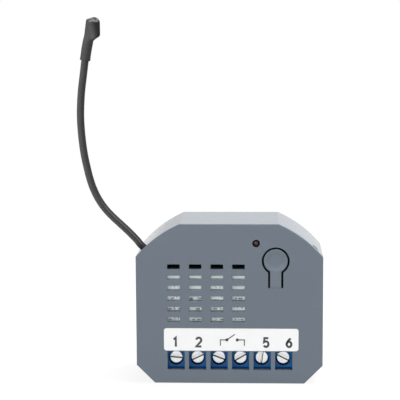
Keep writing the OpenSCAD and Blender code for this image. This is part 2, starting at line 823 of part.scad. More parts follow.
// Slotted terminal screw, left at the angle it was last turned to
module terminal_screw(i) {
    color(zinc) translate([pole_x(i), 0, screw_z]) {
        difference() {
            union() {
                depth_rod(0, 0, head_r, head_top + head_bevel, head_under);
                translate([0, head_top + head_bevel, 0]) rotate([90, 0, 0])
                    cylinder(r1 = head_r, r2 = head_r - head_bevel, h = head_bevel, $fn = 64);
            }
            rotate([0, -slot_turns[i], 0])
                block_from([-far, head_top - over, -slot_w / 2], [far, head_top + slot_d, slot_w / 2]);
        }
        depth_rod(0, 0, shank_r, head_under, screw_tip);
    }
}

// Rising wire cage that the screw draws towards the front
module wire_cage(i) {
    x = pole_x(i);
    color(zinc) difference() {
        block_from([x - cage_w / 2, cage_y, cage_z0], [x + cage_w / 2, cage_under, cage_z0 + cage_l]);
        block_from(
            [x - cage_w / 2 + cage_side, plate_under, cage_z0 - over],
            [x + cage_w / 2 - cage_side, cage_floor_y, cage_z0 + cage_l + over]
        );
        depth_rod(x, screw_z, shank_r + thread_gap, cage_y - over, plate_under + over);
    }
}

// Fixed contact bar inside a cage, with its solder pin
module contact_bar(i) {
    x = pole_x(i);
    color(tin) {
        block_from([x - bar_w / 2, bar_y, bar_z0], [x + bar_w / 2, bar_under, bar_z1]);
        block_from(
            [x - pin_w / 2, bar_y, pin_z - bar_t / 2],
            [x + pin_w / 2, board_back + pin_out, pin_z + bar_t / 2]
        );
    }
}

// A box inside the relay: u across, h above the board, v upwards
module relay_box(u0, u1, h0, h1, v0, v1) {
    block_from(
        [relay_left + u0, board_y - h1, relay_z + v0],
        [relay_left + u1, board_y - h0, relay_z + v1]
    );
}

// A round bar across the relay from u0 to u1
module relay_rod(u0, u1, h, v, r) {
    translate([relay_left + u0, board_y - h, relay_z + v]) rotate([0, 90, 0])
        cylinder(r = r, h = u1 - u0, $fn = 64);
}

// Pale relay case, open towards the board
module relay_case() {
    color(pale_plastic) difference() {
        relay_box(0, relay_w, leaf_t, relay_h, 0, relay_l);
        relay_box(
            relay_wall, relay_w - relay_wall, -over, relay_h - relay_wall,
            relay_wall, relay_l - relay_wall
        );
    }
}

// Relay base that stands on the board
module relay_base() {
    inner = relay_wall + fit_in;
    color(dark_plastic) relay_box(inner, relay_w - inner, 0, relay_base_t, inner, relay_l - inner);
}

// Coil former with a cheek at each end
module relay_bobbin() {
    cheek_v = relay_l / 2;
    cheek = coil_r + 2 * fit_in;
    color(pale_plastic) difference() {
        union() {
            relay_rod(bobbin_u0, bobbin_u1, axis_h, cheek_v, core_r + fit_in + bobbin_t);
            for (u = [bobbin_u0, bobbin_u1 - bobbin_t])
                relay_box(u, u + bobbin_t, axis_h - cheek, axis_h + cheek, cheek_v - cheek, cheek_v + cheek);
        }
        relay_rod(bobbin_u0 - over, bobbin_u1 + over, axis_h, cheek_v, core_r + fit_in);
    }
}

// Copper winding on the former
module relay_coil() {
    color(copper) difference() {
        relay_rod(bobbin_u0 + bobbin_t + fit_in, bobbin_u1 - bobbin_t - fit_in, axis_h, relay_l / 2, coil_r);
        relay_rod(bobbin_u0, bobbin_u1, axis_h, relay_l / 2, core_r + 2 * fit_in + bobbin_t);
    }
}

// Iron yoke and core
module relay_yoke() {
    v1 = iron_v + iron_w;
    color(zinc) {
        relay_box(yoke_u, yoke_u + iron_t, relay_base_t, axis_h + coil_r, iron_v, v1);
        relay_box(yoke_u, yoke_end, relay_base_t, relay_base_t + iron_t, iron_v, v1);
        relay_rod(yoke_u + iron_t / 2, core_end, axis_h, relay_l / 2, core_r);
    }
}

// Iron armature that the core pulls in
module relay_armature() {
    color(zinc) relay_box(
        armature_u, armature_u + iron_t, relay_base_t + 5 * fit_in, axis_h + coil_r + iron_t / 2,
        iron_v + leaf_in / 2, iron_v + iron_w - leaf_in / 2
    );
}

// Contact spring on the armature, with the moving contact
module relay_contact_spring() {
    color(copper) {
        relay_box(
            leaf_u, leaf_u + leaf_t, axis_h - leaf_in, contact_h + contact_r + leaf_t,
            iron_v + leaf_in, contact_v + contact_r
        );
        relay_rod(leaf_u - contact_r, leaf_u, contact_h, contact_v, contact_r);
    }
}

// Fixed contact on its post
module relay_fixed_contact() {
    face_u = leaf_u - contact_r - contact_gap;
    post_u = face_u - contact_r / 2;
    color(copper) {
        relay_box(
            post_u - 2 * leaf_t, post_u, relay_base_t, contact_h + contact_r,
            contact_v - contact_r / 2, contact_v + contact_r / 2
        );
        relay_rod(post_u, face_u, contact_h, contact_v, contact_r);
    }
}

// Relay pins through the board
module relay_pins() {
    color(tin) for (place = relay_pin_places)
        depth_rod(place.x, place.y, relay_pin_r, board_y, board_back + pin_out);
}

// Radio board on the main board
module radio_board() {
    color(board_green) block_from(
        [radio_x - radio_w / 2, board_y - radio_t, radio_z],
        [radio_x + radio_w / 2, board_y, radio_z + radio_l]
    );
}

// Shielding can over the radio chip, open underneath
module radio_shield() {
    half = radio_w / 2 - shield_in;
    z0 = radio_z + shield_in;
    z1 = radio_z + radio_l - shield_in;
    foot = board_y - radio_t;
    color(zinc) difference() {
        block_from([radio_x - half, foot - shield_h, z0], [radio_x + half, foot, z1]);
        block_from(
            [radio_x - half + shield_t, foot - shield_h + shield_t, z0 + shield_t],
            [radio_x + half - shield_t, foot + over, z1 - shield_t]
        );
    }
}

// Part of the antenna lead inside the case, down to the board
module antenna_tail() {
    color(black_rubber) tube(tail_points, [1, 0.15, 1], antenna_r);
}

// Free part of the antenna lead
module antenna_lead() {
    color(black_rubber) tube(lead_points, [0, 1, 0], antenna_r);
}

// Sleeve over the antenna's end, pinched flat at its tip
module antenna_cap() {
    pinch_band = pinch_l / 6;
    color(black_rubber) translate(sleeve_foot) rotate([0, sleeve_lean, 0]) {
        difference() {
            cylinder(r = sleeve_r, h = sleeve_l, $fn = 24);
            translate([0, 0, -over])
                cylinder(r = antenna_r + sleeve_gap, h = sleeve_bore + sleeve_gap + over, $fn = 24);
        }
        hull() {
            translate([0, 0, sleeve_l - pinch_band])
                cylinder(r = sleeve_r - sleeve_gap, h = pinch_band, $fn = 24);
            translate([pinch_w / 2 - sleeve_r, 0, sleeve_l + 0.6 * pinch_l])
                cube([pinch_w, pinch_t, pinch_band], center = true);
            translate([0.47 * pinch_w - sleeve_r, 0, sleeve_l + pinch_l - pinch_band / 2])
                cube([0.9 * pinch_w, pinch_t, pinch_band], center = true);
        }
    }
}

// A capacitor can standing on the board
module capacitor_can(x, z, r, h) {
    groove_y = board_y - 4 * cap_groove;
    difference() {
        depth_rod(x, z, r, board_y - h, board_y);
        difference() {
            depth_rod(x, z, r + over, groove_y - cap_groove, groove_y);
            depth_rod(x, z, r - cap_groove, groove_y - cap_groove - over, groove_y + over);
        }
    }
}

// Capacitor on the mains side
module mains_capacitor() {
    color(dark_plastic) capacitor_can(hv_x, hv_z, hv_cap_r, hv_cap_h);
}

// Capacitor on the low voltage side
module output_capacitor() {
    color(dark_plastic) capacitor_can(lv_x, lv_z, lv_cap_r, lv_cap_h);
}

// Ferrite drum of the choke
module choke_core() {
    color(dark_plastic) {
        depth_rod(choke_x, choke_z, choke_r / 2, board_y - choke_h, board_y);
        depth_rod(choke_x, choke_z, choke_r, board_y - choke_flange, board_y);
        depth_rod(choke_x, choke_z, choke_r, board_y - choke_h, board_y - choke_h + choke_flange);
    }
}

// Winding of the choke
module choke_winding() {
    y0 = board_y - choke_h + choke_flange;
    y1 = board_y - choke_flange;
    color(copper) difference() {
        depth_rod(choke_x, choke_z, choke_r - fit_in * 4, y0, y1);
        depth_rod(choke_x, choke_z, choke_r / 2 + fit_in, y0 - over, y1 + over);
    }
}

// Film capacitor
module film_capacitor() {
    color([0.55, 0.35, 0.15]) block_from(
        [film_x - film_w / 2, board_y - film_h, film_z - film_l / 2],
        [film_x + film_w / 2, board_y, film_z + film_l / 2]
    );
}

// Varistor disc on two leads, left of the relay
module varistor() {
    centre_y = board_y - varistor_r - 2 * lead_r;
    color([0.10, 0.25, 0.45]) {
        translate([varistor_x - varistor_t / 2, centre_y, varistor_z]) rotate([0, 90, 0])
            cylinder(r = varistor_r, h = varistor_t, $fn = 64);
        for (z = [-1, 1])
            depth_rod(varistor_x, varistor_z + z * varistor_r / 2, lead_r, centre_y, board_y);
    }
}

// Fuse resistor standing on the board
module fuse_resistor() {
    color([0.30, 0.42, 0.30]) depth_rod(fuse_x, fuse_z, fuse_r, board_y - fuse_h, board_y);
}

// Power chip behind the board
module power_chip() {
    color(dark_plastic) block_from(
        [choke_x - chip_w / 2, board_back, film_z - chip_w / 2],
        [choke_x + chip_w / 2, board_back + chip_h, film_z + chip_w / 2]
    );
}

// Bridge rectifier behind the board
module bridge_rectifier() {
    color(dark_plastic) block_from(
        [hv_x - chip_w / 2, board_back, hv_z - chip_w / 2],
        [hv_x + chip_w / 2, board_back + chip_h, hv_z + chip_w / 2]
    );
}

// Row of small chips behind the board
module small_chips() {
    count = 5;
    chip_l = chip_w / 3;
    color(dark_plastic) for (i = [0 : count - 1])
        translate([relay_left + relay_w / 2 + (i - 2) * 2 * chip_l, board_back, relay_top + chip_h])
            cube([chip_l, chip_h / 2, chip_l / 2]);
}

front_cover();
rear_case();
terminal_label();
button_tongue();
pcb();
status_led();
led_leads();
switch_body();
switch_plunger();
switch_leads();
for (k = [0 : blocks - 1])
    terminal_block(k);
for (i = [0 : poles - 1]) {
    terminal_screw(i);
    wire_cage(i);
    contact_bar(i);
}
relay_case();
relay_base();
relay_bobbin();
relay_coil();
relay_yoke();
relay_armature();
relay_contact_spring();
relay_fixed_contact();
relay_pins();
radio_board();
radio_shield();
antenna_tail();
antenna_lead();
antenna_cap();
mains_capacitor();
output_capacitor();
choke_core();
choke_winding();
film_capacitor();
varistor();
fuse_resistor();
power_chip();
bridge_rectifier();
small_chips();
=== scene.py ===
"""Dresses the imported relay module: camera and studio, antenna, finishes and printed marks."""

import logging
import math
from dataclasses import dataclass, field, replace
from enum import Enum
from typing import Any, Dict, Iterable, List, Optional, Sequence, Tuple, Union

import bmesh
import bpy
from mathutils import Matrix, Vector


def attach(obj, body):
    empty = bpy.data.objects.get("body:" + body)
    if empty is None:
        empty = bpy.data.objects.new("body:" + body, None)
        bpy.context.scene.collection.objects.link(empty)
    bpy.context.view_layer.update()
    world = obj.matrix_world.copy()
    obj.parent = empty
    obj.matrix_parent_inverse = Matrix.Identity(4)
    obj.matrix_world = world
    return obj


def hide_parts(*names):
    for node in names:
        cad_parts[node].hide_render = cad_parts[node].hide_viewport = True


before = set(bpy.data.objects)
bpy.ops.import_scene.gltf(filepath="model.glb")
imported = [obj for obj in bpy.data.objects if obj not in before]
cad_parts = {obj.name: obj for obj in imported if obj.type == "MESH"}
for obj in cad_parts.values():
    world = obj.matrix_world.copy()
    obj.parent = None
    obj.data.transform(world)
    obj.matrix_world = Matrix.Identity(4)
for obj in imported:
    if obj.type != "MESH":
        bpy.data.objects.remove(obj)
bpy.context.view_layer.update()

LOG = logging.getLogger("relay_module")
MM = 0.001
BODY = "housing"

# The row of terminals: distance between its poles, and height of its screws' axes
POLE_PITCH = 5 * MM
SCREW_Z = 5.6 * MM

# Octaves of the noises, and their mean
SMOOTH = 1.0
SOFT = 2.0
FINE = 3.0
MEAN = 0.5

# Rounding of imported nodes: how close points are joined, and the angles of flat and sharp edges in degrees
JOIN = 0.001 * MM
FLAT_ANGLE = 0.5
SHARP_ANGLE = 28.0

Colour = Tuple[float, float, float]
Span = Tuple[float, float]
Point2 = Tuple[float, float]
Point3 = Tuple[float, float, float]
Number = Union[int, float]
Operand = Union["Sock", Number]


class Sock:
    """An output socket of a shader node that takes part in Python expressions."""

    def __init__(self, graph: "Graph", socket: bpy.types.NodeSocket) -> None:
        """Keeps the graph that new Math nodes are added to."""
        self.graph = graph
        self.socket = socket

    def at(self, name: str) -> "Sock":
        """Another output of the same node."""
        return Sock(self.graph, self.socket.node.outputs[name])

    def math(self, operation: str, *values: Operand) -> "Sock":
        """Adds a Math node.

        Args:
            operation: The Math node's operation.
            values: Its operands in order.

        Returns:
            The node's result.
        """
        return self.graph.node("ShaderNodeMath", {"operation": operation}, dict(enumerate(values)))

    def __add__(self, other: Operand) -> "Sock":
        """Self + other."""
        return self.math("ADD", self, other)

    def __radd__(self, other: Operand) -> "Sock":
        """Other + self."""
        return self.math("ADD", other, self)

    def __sub__(self, other: Operand) -> "Sock":
        """Self - other."""
        return self.math("SUBTRACT", self, other)

    def __rsub__(self, other: Operand) -> "Sock":
        """Other - self."""
        return self.math("SUBTRACT", other, self)

    def __mul__(self, other: Operand) -> "Sock":
        """Self * other."""
        return self.math("MULTIPLY", self, other)

    def __rmul__(self, other: Operand) -> "Sock":
        """Other * self."""
        return self.math("MULTIPLY", other, self)

    def __truediv__(self, other: Operand) -> "Sock":
        """Self / other."""
        return self.math("DIVIDE", self, other)

    def __pow__(self, other: Operand) -> "Sock":
        """Self to a power."""
        return self.math("POWER", self, other)

    def __mod__(self, other: Operand) -> "Sock":
        """Self modulo other, never negative."""
        return self.math("FLOORED_MODULO", self, other)

    def __abs__(self) -> "Sock":
        """Size of the value."""
        return self.math("ABSOLUTE", self)

    def __gt__(self, other: Operand) -> "Sock":
        """1 where self is more than other."""
        return self.math("GREATER_THAN", self, other)

    def __lt__(self, other: Operand) -> "Sock":
        """1 where self is less than other."""
        return self.math("LESS_THAN", self, other)

    def ramp(self, low: Number, high: Number) -> "Sock":
        """Smooth step from 0 at low to 1 at high.

        Args:
            low: Value that gives 0.
            high: Value that gives 1.

        Returns:
            The eased value.
        """
        sockets = {"Value": self, "From Min": low, "From Max": high}
        return self.graph.node("ShaderNodeMapRange", {"interpolation_type": "SMOOTHSTEP"}, sockets)


class Graph:
    """A node tree that is filled by calls."""

    def __init__(self, tree: bpy.types.NodeTree) -> None:
        """Empties the tree."""
        tree.nodes.clear()
        self.tree = tree

    def node(self, kind: str, settings: Optional[Dict[str, Any]] = None,
             sockets: Optional[Dict[Union[str, int], Any]] = None, out: Union[str, int] = 0) -> Sock:
        """Adds one node.

        Args:
            kind: The node's type.
            settings: Properties of the node, set before its sockets.
            sockets: Values or links of its inputs, by name or number.
            out: The output to hand back, by name or number.

        Returns:
            That output.
        """
        made = self.tree.nodes.new(kind)
        for key, value in (settings or {}).items():
            setattr(made, key, value)
        for key, value in (sockets or {}).items():
            target = made.inputs[key]
            if isinstance(value, Sock):
                self.tree.links.new(value.socket, target)
            elif target.type == "RGBA":
                target.default_value = (*value, 1.0)
            else:
                target.default_value = value
        return Sock(self, made.outputs[out]) if len(made.outputs) else Sock(self, made.inputs[0])

    def place(self) -> Sock:
        """Object coordinates, which are the part's own in metres."""
        return self.node("ShaderNodeTexCoord", out="Object")

    def axes(self, place: Sock) -> Tuple[Sock, Sock, Sock]:
        """The three numbers of a point."""
        split = self.node("ShaderNodeSeparateXYZ", None, {0: place})
        return split, split.at("Y"), split.at("Z")

    def stretched(self, place: Sock, scale: Point3) -> Sock:
        """The point with each axis multiplied."""
        return self.node("ShaderNodeVectorMath", {"operation": "MULTIPLY"}, {0: place, 1: scale})

    def off_axis(self, place: Sock, pitch: float, height: float) -> Tuple[Sock, Sock, Sock]:
        """Where a point lies from the nearest of a level row of axes that run from front to back.

        Args:
            place: The point.
            pitch: Distance between the axes, which lie half of it off the module's middle.
            height: Height of the row.

        Returns:
            How far it lies to the right and up, and its distance.
        """
        x, _, z = self.axes(place)
        across = (x % pitch) - 0.5 * pitch
        up = z - height
        return across, up, (across * across + up * up) ** 0.5

    def noise(self, size: float, detail: float, place: Optional[Sock] = None, rough: float = 0.5) -> Sock:
        """Cloudy noise between 0 and 1.

        Args:
            size: Width of its largest spots, in metres.
            detail: Octaves below them.
            place: Where to read it, or the part's own coordinates.
            rough: Weight of the octaves.

        Returns:
            The noise value.
        """
        where = place or self.place()
        sockets = {"Vector": where, "Scale": 1.0 / size, "Detail": detail, "Roughness": rough}
        return self.node("ShaderNodeTexNoise", None, sockets)

    def mix(self, mask: Operand, under: Union[Sock, Colour], over: Union[Sock, Colour]) -> Sock:
        """Colour that goes from under to over with the mask.

        Args:
            mask: 0 for under, 1 for over.
            under: First colour.
            over: Second colour.

        Returns:
            The mixed colour.
        """
        return self.node("ShaderNodeMix", {"data_type": "RGBA"}, {0: mask, 6: under, 7: over}, out=2)

    def bump(self, height: Sock, depth: float, strength: float = 1.0) -> Sock:
        """Normal of a surface with that height, depth metres deep."""
        return self.node("ShaderNodeBump", None, {"Height": height, "Distance": depth, "Strength": strength})


def tint(colour: Colour, factor: float) -> Colour:
    """The colour made lighter or darker."""
    return tuple(min(1.0, channel * factor) for channel in colour)


def grey(level: float) -> Colour:
    """A neutral colour."""
    return (level, level, level)


@dataclass(frozen=True)
class Finish:
    """A surface finish; each kind below has its own pattern."""

    name: str
    colour: Colour
    roughness: float = 0.4

    def pattern(self, graph: Graph) -> Dict[str, Any]:
        """Values and links of the shader that this finish sets, by socket name."""
        raise NotImplementedError(self.name)

    def shaded(self, graph: Graph, mask: Operand, shades: Span) -> Sock:
        """The finish's colour, from the first shade of it to the second with the mask."""
        return graph.mix(mask, tint(self.colour, shades[0]), tint(self.colour, shades[1]))

    def material(self) -> bpy.types.Material:
        """The finish as a material, made once.

        Returns:
            The material with this finish's name.
        """
        made = bpy.data.materials.get("finish_" + self.name)
        if made is None:
            made = bpy.data.materials.new("finish_" + self.name)
            made.use_nodes = True
            graph = Graph(made.node_tree)
            shader = graph.node("ShaderNodeBsdfPrincipled", None, self.pattern(graph))
            graph.node("ShaderNodeOutputMaterial", None, {"Surface": shader})
        return made

    def dress(self, piece: bpy.types.Object) -> None:
        """Gives a piece this finish alone.

        Args:
            piece: The piece, new or packed.
        """
        piece.data.materials.clear()
        piece.data.materials.append(self.material())
        LOG.info("%s: finished as %s", piece.name, self.name)


@dataclass(frozen=True)
class MouldedPlastic(Finish):
    """Injection-moulded plastic with an eroded grain and faint flow marks."""

    grain: float = 0.16 * MM
    grain_depth: float = 0.012 * MM
    mottle: float = 0.05
    scuffs: float = 0.25
    grazing_gloss: float = 0.29
    shine: float = 0.5
    grain_rough: float = 0.6
    cloud: float = 9 * MM
    flow: float = 3 * MM
    flow_stretch: Point3 = (1.0, 1.0, 0.35)
    shares: Point3 = (0.5, 0.3, 0.2)
    scratch: float = 1.6 * MM
    scratch_stretch: Point3 = (0.12, 1.0, 1.0)
    scratched: Span = (0.68, 0.8)
    scuff_cover: float = 0.12
    scuff_level: float = 0.6
    grazing: Span = (0.65, 0.92)
    unevenness: Point3 = (0.1, 0.06, 0.1)

    def pattern(self, graph: Graph) -> Dict[str, Any]:
        """Grain in the normal, clouds in colour and gloss, fine scuffs, more gloss at grazing angles.

        Args:
            graph: The material's nodes.

        Returns:
            Values and links of the shader, by socket name.
        """
        place = graph.place()
        graze = graph.node("ShaderNodeLayerWeight", out="Facing").ramp(*self.grazing)
        grain = graph.noise(self.grain, FINE, place, self.grain_rough)
        clouds = graph.noise(self.cloud, SOFT, place)
        flow = graph.noise(self.flow, SOFT, graph.stretched(place, self.flow_stretch))
        scratch = graph.noise(self.scratch, SMOOTH, graph.stretched(place, self.scratch_stretch))
        scuff = self.scuffs * scratch.ramp(*self.scratched)
        of_clouds, of_flow, of_grain = self.shares
        shade = of_clouds * clouds + of_flow * flow + of_grain * grain
        colour = self.shaded(graph, shade, (1 - self.mottle, 1 + self.mottle))
        by_grain, by_clouds, by_scuffs = self.unevenness
        uneven = by_grain * (grain - MEAN) + by_clouds * (clouds - MEAN) - by_scuffs * scuff
        return {
            "Base Color": graph.mix(self.scuff_cover * scuff, colour, grey(self.scuff_level)),
            "Specular IOR Level": self.shine,
            "Roughness": self.roughness + uneven - self.grazing_gloss * graze,
            "Normal": graph.bump(grain, self.grain_depth),
        }


@dataclass(frozen=True)
class WelledPlastic(MouldedPlastic):
    """Moulded plastic with painted shade down the screw wells."""

    well_r: float = 1.8 * MM
    face_y: float = -8.2 * MM
    mouth: Span = (0.05 * MM, 0.3 * MM)
    lit_side: Span = (-1.2 * MM, 0.0)
    lit_share: float = 0.8
    well_shade: float = 0.9
    well_shade_tint: float = 0.12

    def pattern(self, graph: Graph) -> Dict[str, Any]:
        """The moulded pattern with painted shade round each screw below the face, most on the well's lower
        side.

        Args:
            graph: The material's nodes.

        Returns:
            Values and links of the shader, by socket name.
        """
        made = super().pattern(graph)
        place = graph.place()
        _, up, radius = graph.off_axis(place, POLE_PITCH, SCREW_Z)
        deep = (graph.axes(place)[1] - self.face_y).ramp(*self.mouth)
        low = 1 - self.lit_share * up.ramp(*self.lit_side)
        # Painted shade: darker down each screw well, most on its lower side.
        dark = self.well_shade * ((radius < self.well_r) * deep * low)
        made["Base Color"] = graph.mix(dark, made["Base Color"], tint(self.colour, self.well_shade_tint))
        return made


@dataclass(frozen=True)
class Paper(Finish):
    """Coated label stock with a faint fibre."""

    fibre: float = 0.12 * MM
    fibre_stretch: Point3 = (0.4, 1.0, 1.0)
    fibre_depth: float = 0.003 * MM
    fibre_share: float = 0.6
    cloud: float = 5 * MM
    shades: Span = (0.97, 1.02)
    unevenness: float = 0.1

    def pattern(self, graph: Graph) -> Dict[str, Any]:
        """Fibre in colour, gloss and normal, clouds in colour.

        Args:
            graph: The material's nodes.

        Returns:
            Values and links of the shader, by socket name.
        """
        place = graph.place()
        fibre = graph.noise(self.fibre, FINE, graph.stretched(place, self.fibre_stretch))
        clouds = graph.noise(self.cloud, SOFT, place)
        cover = self.fibre_share * fibre + (1 - self.fibre_share) * clouds
        return {
            "Base Color": self.shaded(graph, cover, self.shades),
            "Roughness": self.roughness + self.unevenness * (fibre - MEAN),
            "Normal": graph.bump(fibre, self.fibre_depth),
        }


@dataclass(frozen=True)
class Ink(Finish):
    """Printed ink that is a little uneven."""

    speck: float = 0.08 * MM
    shades: Span = (0.85, 1.2)
    unevenness: float = 0.15

    def pattern(self, graph: Graph) -> Dict[str, Any]:
        """Speckle in the ink's cover.

        Args:
            graph: The material's nodes.

        Returns:
            Values and links of the shader, by socket name.
        """
        speck = graph.noise(self.speck, FINE)
        return {
            "Base Color": self.shaded(graph, speck, self.shades),
            "Roughness": self.roughness + self.unevenness * speck,
        }


@dataclass(frozen=True)
class PlatedMetal(Finish):
    """Plated metal with fine draw marks along one axis."""

    along: Point3 = (0.06, 1.0, 1.0)
    tarnish: float = 0.12
    tarnish_tint: float = 0.45
    mark: float = 0.05 * MM
    mark_depth: float = 0.002 * MM
    spot: float = 1.2 * MM
    spotted: Span = (0.35, 0.75)
    unevenness: Span = (0.16, 0.1)

    def pattern(self, graph: Graph) -> Dict[str, Any]:
        """Draw marks in gloss and normal, tarnish in colour.

        Args:
            graph: The material's nodes.

        Returns:
            Values and links of the shader, by socket name.
        """
        place = graph.place()
        marks = graph.noise(self.mark, SOFT, graph.stretched(place, self.along))
        spots = graph.noise(self.spot, FINE, place)
        tarnish = self.tarnish * spots.ramp(*self.spotted)
        by_marks, by_spots = self.unevenness
        return {
            "Base Color": self.shaded(graph, tarnish, (1.0, self.tarnish_tint)),
            "Metallic": 1.0,
            "Roughness": self.roughness + by_marks * (marks - MEAN) + by_spots * (spots - MEAN),
            "Normal": graph.bump(marks, self.mark_depth),
        }


@dataclass(frozen=True)
class TurnedZinc(Finish):
    """Bright zinc on turned screws, with tool rings round each axis; slot_turn is in degrees."""

    slot_turn: float = 0.0
    head_r: float = 1.5 * MM
    face_y: float = -7.3 * MM
    ring: float = 0.09 * MM
    ring_depth: float = 0.0012 * MM
    ring_strength: float = 0.6
    waver: float = 3.0
    waver_size: float = 0.5 * MM
    speck: float = 0.25 * MM
    specked: Span = (0.62, 0.8)
    rim: Span = (0.9, 1.02)
    slot_mouth: Span = (0.03 * MM, 0.12 * MM)
    slot_highlight_tint: float = 1.2
    slot_shade: float = 0.95
    slot_shade_side: Span = (-0.14 * MM, -0.04 * MM)
    slot_shade_tint: float = 0.06
    slot_edge_up: float = 0.62 * MM
    slot_edge_half: Span = (0.044 * MM, 0.11 * MM)
    wear: Point3 = (0.12, 0.1, 0.5)
    wear_tint: float = 0.4
    unevenness: Point3 = (0.05, 0.15, 0.2)

    def pattern(self, graph: Graph) -> Dict[str, Any]:
        """Rings round the nearest axis, wear towards the rim, painted highlight and painted shade in the
        slot, a darker line over it.

        Args:
            graph: The material's nodes.

        Returns:
            Values and links of the shader, by socket name.
        """
        place = graph.place()
        across, up, radius = graph.off_axis(place, POLE_PITCH, SCREW_Z)
        turn = math.radians(self.slot_turn)
        beside = math.cos(turn) * up - math.sin(turn) * across
        phase = (2 * math.pi / self.ring) * radius + self.waver * graph.noise(self.waver_size, SOFT, place)
        rings = phase.math("SINE", phase)
        specks = graph.noise(self.speck, FINE, place).ramp(*self.specked)
        rim = (radius / self.head_r).ramp(*self.rim)
        sunk = (graph.axes(place)[1] - self.face_y).ramp(*self.slot_mouth)
        # Painted shade: dark along the slot's lower side.
        slot_shade = sunk * (1 - beside.ramp(*self.slot_shade_side))
        # A darker line on the head's face just over the slot.
        slot_edge_line = (1 - sunk) * (1 - abs(beside - self.slot_edge_up).ramp(*self.slot_edge_half))
        of_specks, of_rim, of_slot_edge = self.wear
        worn = self.shaded(graph, of_specks * specks + of_rim * rim + of_slot_edge * slot_edge_line, (1.0, self.wear_tint))
        # Painted highlight: the slot floor and the head's sides are lighter than the face.
        floor = graph.mix(sunk, worn, tint(self.colour, self.slot_highlight_tint))
        by_rings, by_specks, by_slot = self.unevenness
        return {
            "Base Color": graph.mix(self.slot_shade * slot_shade, floor, tint(self.colour, self.slot_shade_tint)),
            "Metallic": 1.0,
            "Roughness": self.roughness + by_rings * rings + by_specks * specks + by_slot * sunk,
            "Normal": graph.bump(rings, self.ring_depth, self.ring_strength),
        }


@dataclass(frozen=True)
class SolderMask(Finish):
    """Green solder mask over copper tracks, with speckled glass weave."""

    track: float = 2.4 * MM
    track_stretch: Point3 = (1.0, 0.001, 0.6)
    track_edge: Span = (0.30, 0.36)
    track_depth: float = 0.03 * MM
    track_tint: float = 1.7
    weave: float = 0.3 * MM
    weave_cover: float = 0.25
    weave_tint: float = 0.5
    unevenness: float = 0.12

    def pattern(self, graph: Graph) -> Dict[str, Any]:
        """Tracks as steps in a stretched cell pattern, the weave over them.

        Args:
            graph: The material's nodes.

        Returns:
            Values and links of the shader, by socket name.
        """
        place = graph.place()
        cells = graph.node("ShaderNodeTexVoronoi", {"distance": "CHEBYCHEV"},
                           {"Vector": graph.stretched(place, self.track_stretch), "Scale": 1.0 / self.track})
        copper = cells.ramp(*self.track_edge)
        weave = graph.noise(self.weave, SOFT, place)
        base = self.shaded(graph, copper, (1.0, self.track_tint))
        return {
            "Base Color": graph.mix(self.weave_cover * weave, base, tint(self.colour, self.weave_tint)),
            "Roughness": self.roughness + self.unevenness * weave,
            "Normal": graph.bump(copper, self.track_depth),
        }


class Axis(Enum):
    """Axes of the module, by their place in a point."""

    ACROSS = 0
    DEPTH = 1


@dataclass(frozen=True)
class Winding(Finish):
    """Enamelled wire laid turn beside turn along one axis."""

    axis: Axis = Axis.ACROSS
    wire: float = 0.16 * MM
    wire_depth: float = 0.05 * MM
    stray: float = 0.02 * MM
    stray_size: float = 0.6 * MM
    cloud: float = 1.5 * MM
    shades: Span = (0.8, 1.15)
    groove: Span = (0.1, 0.6)
    groove_cover: float = 0.8
    groove_tint: float = 0.25
    metal: float = 0.85
    unevenness: float = 0.1

    def pattern(self, graph: Graph) -> Dict[str, Any]:
        """Rounded turns in the normal, dark between them.

        Args:
            graph: The material's nodes.

        Returns:
            Values and links of the shader, by socket name.
        """
        place = graph.place()
        lay = graph.axes(place)[self.axis.value] + self.stray * graph.noise(self.stray_size, SMOOTH, place)
        turn = abs(((lay / self.wire) % 1.0) - 0.5)
        crest = 1 - (2 * turn) ** 2
        clouds = graph.noise(self.cloud, SOFT, place)
        base = self.shaded(graph, clouds, self.shades)
        between = self.groove_cover * (1 - crest.ramp(*self.groove))
        return {
            "Base Color": graph.mix(between, base, tint(self.colour, self.groove_tint)),
            "Metallic": self.metal,
            "Roughness": self.roughness + self.unevenness * clouds,
            "Normal": graph.bump(crest, self.wire_depth),
        }


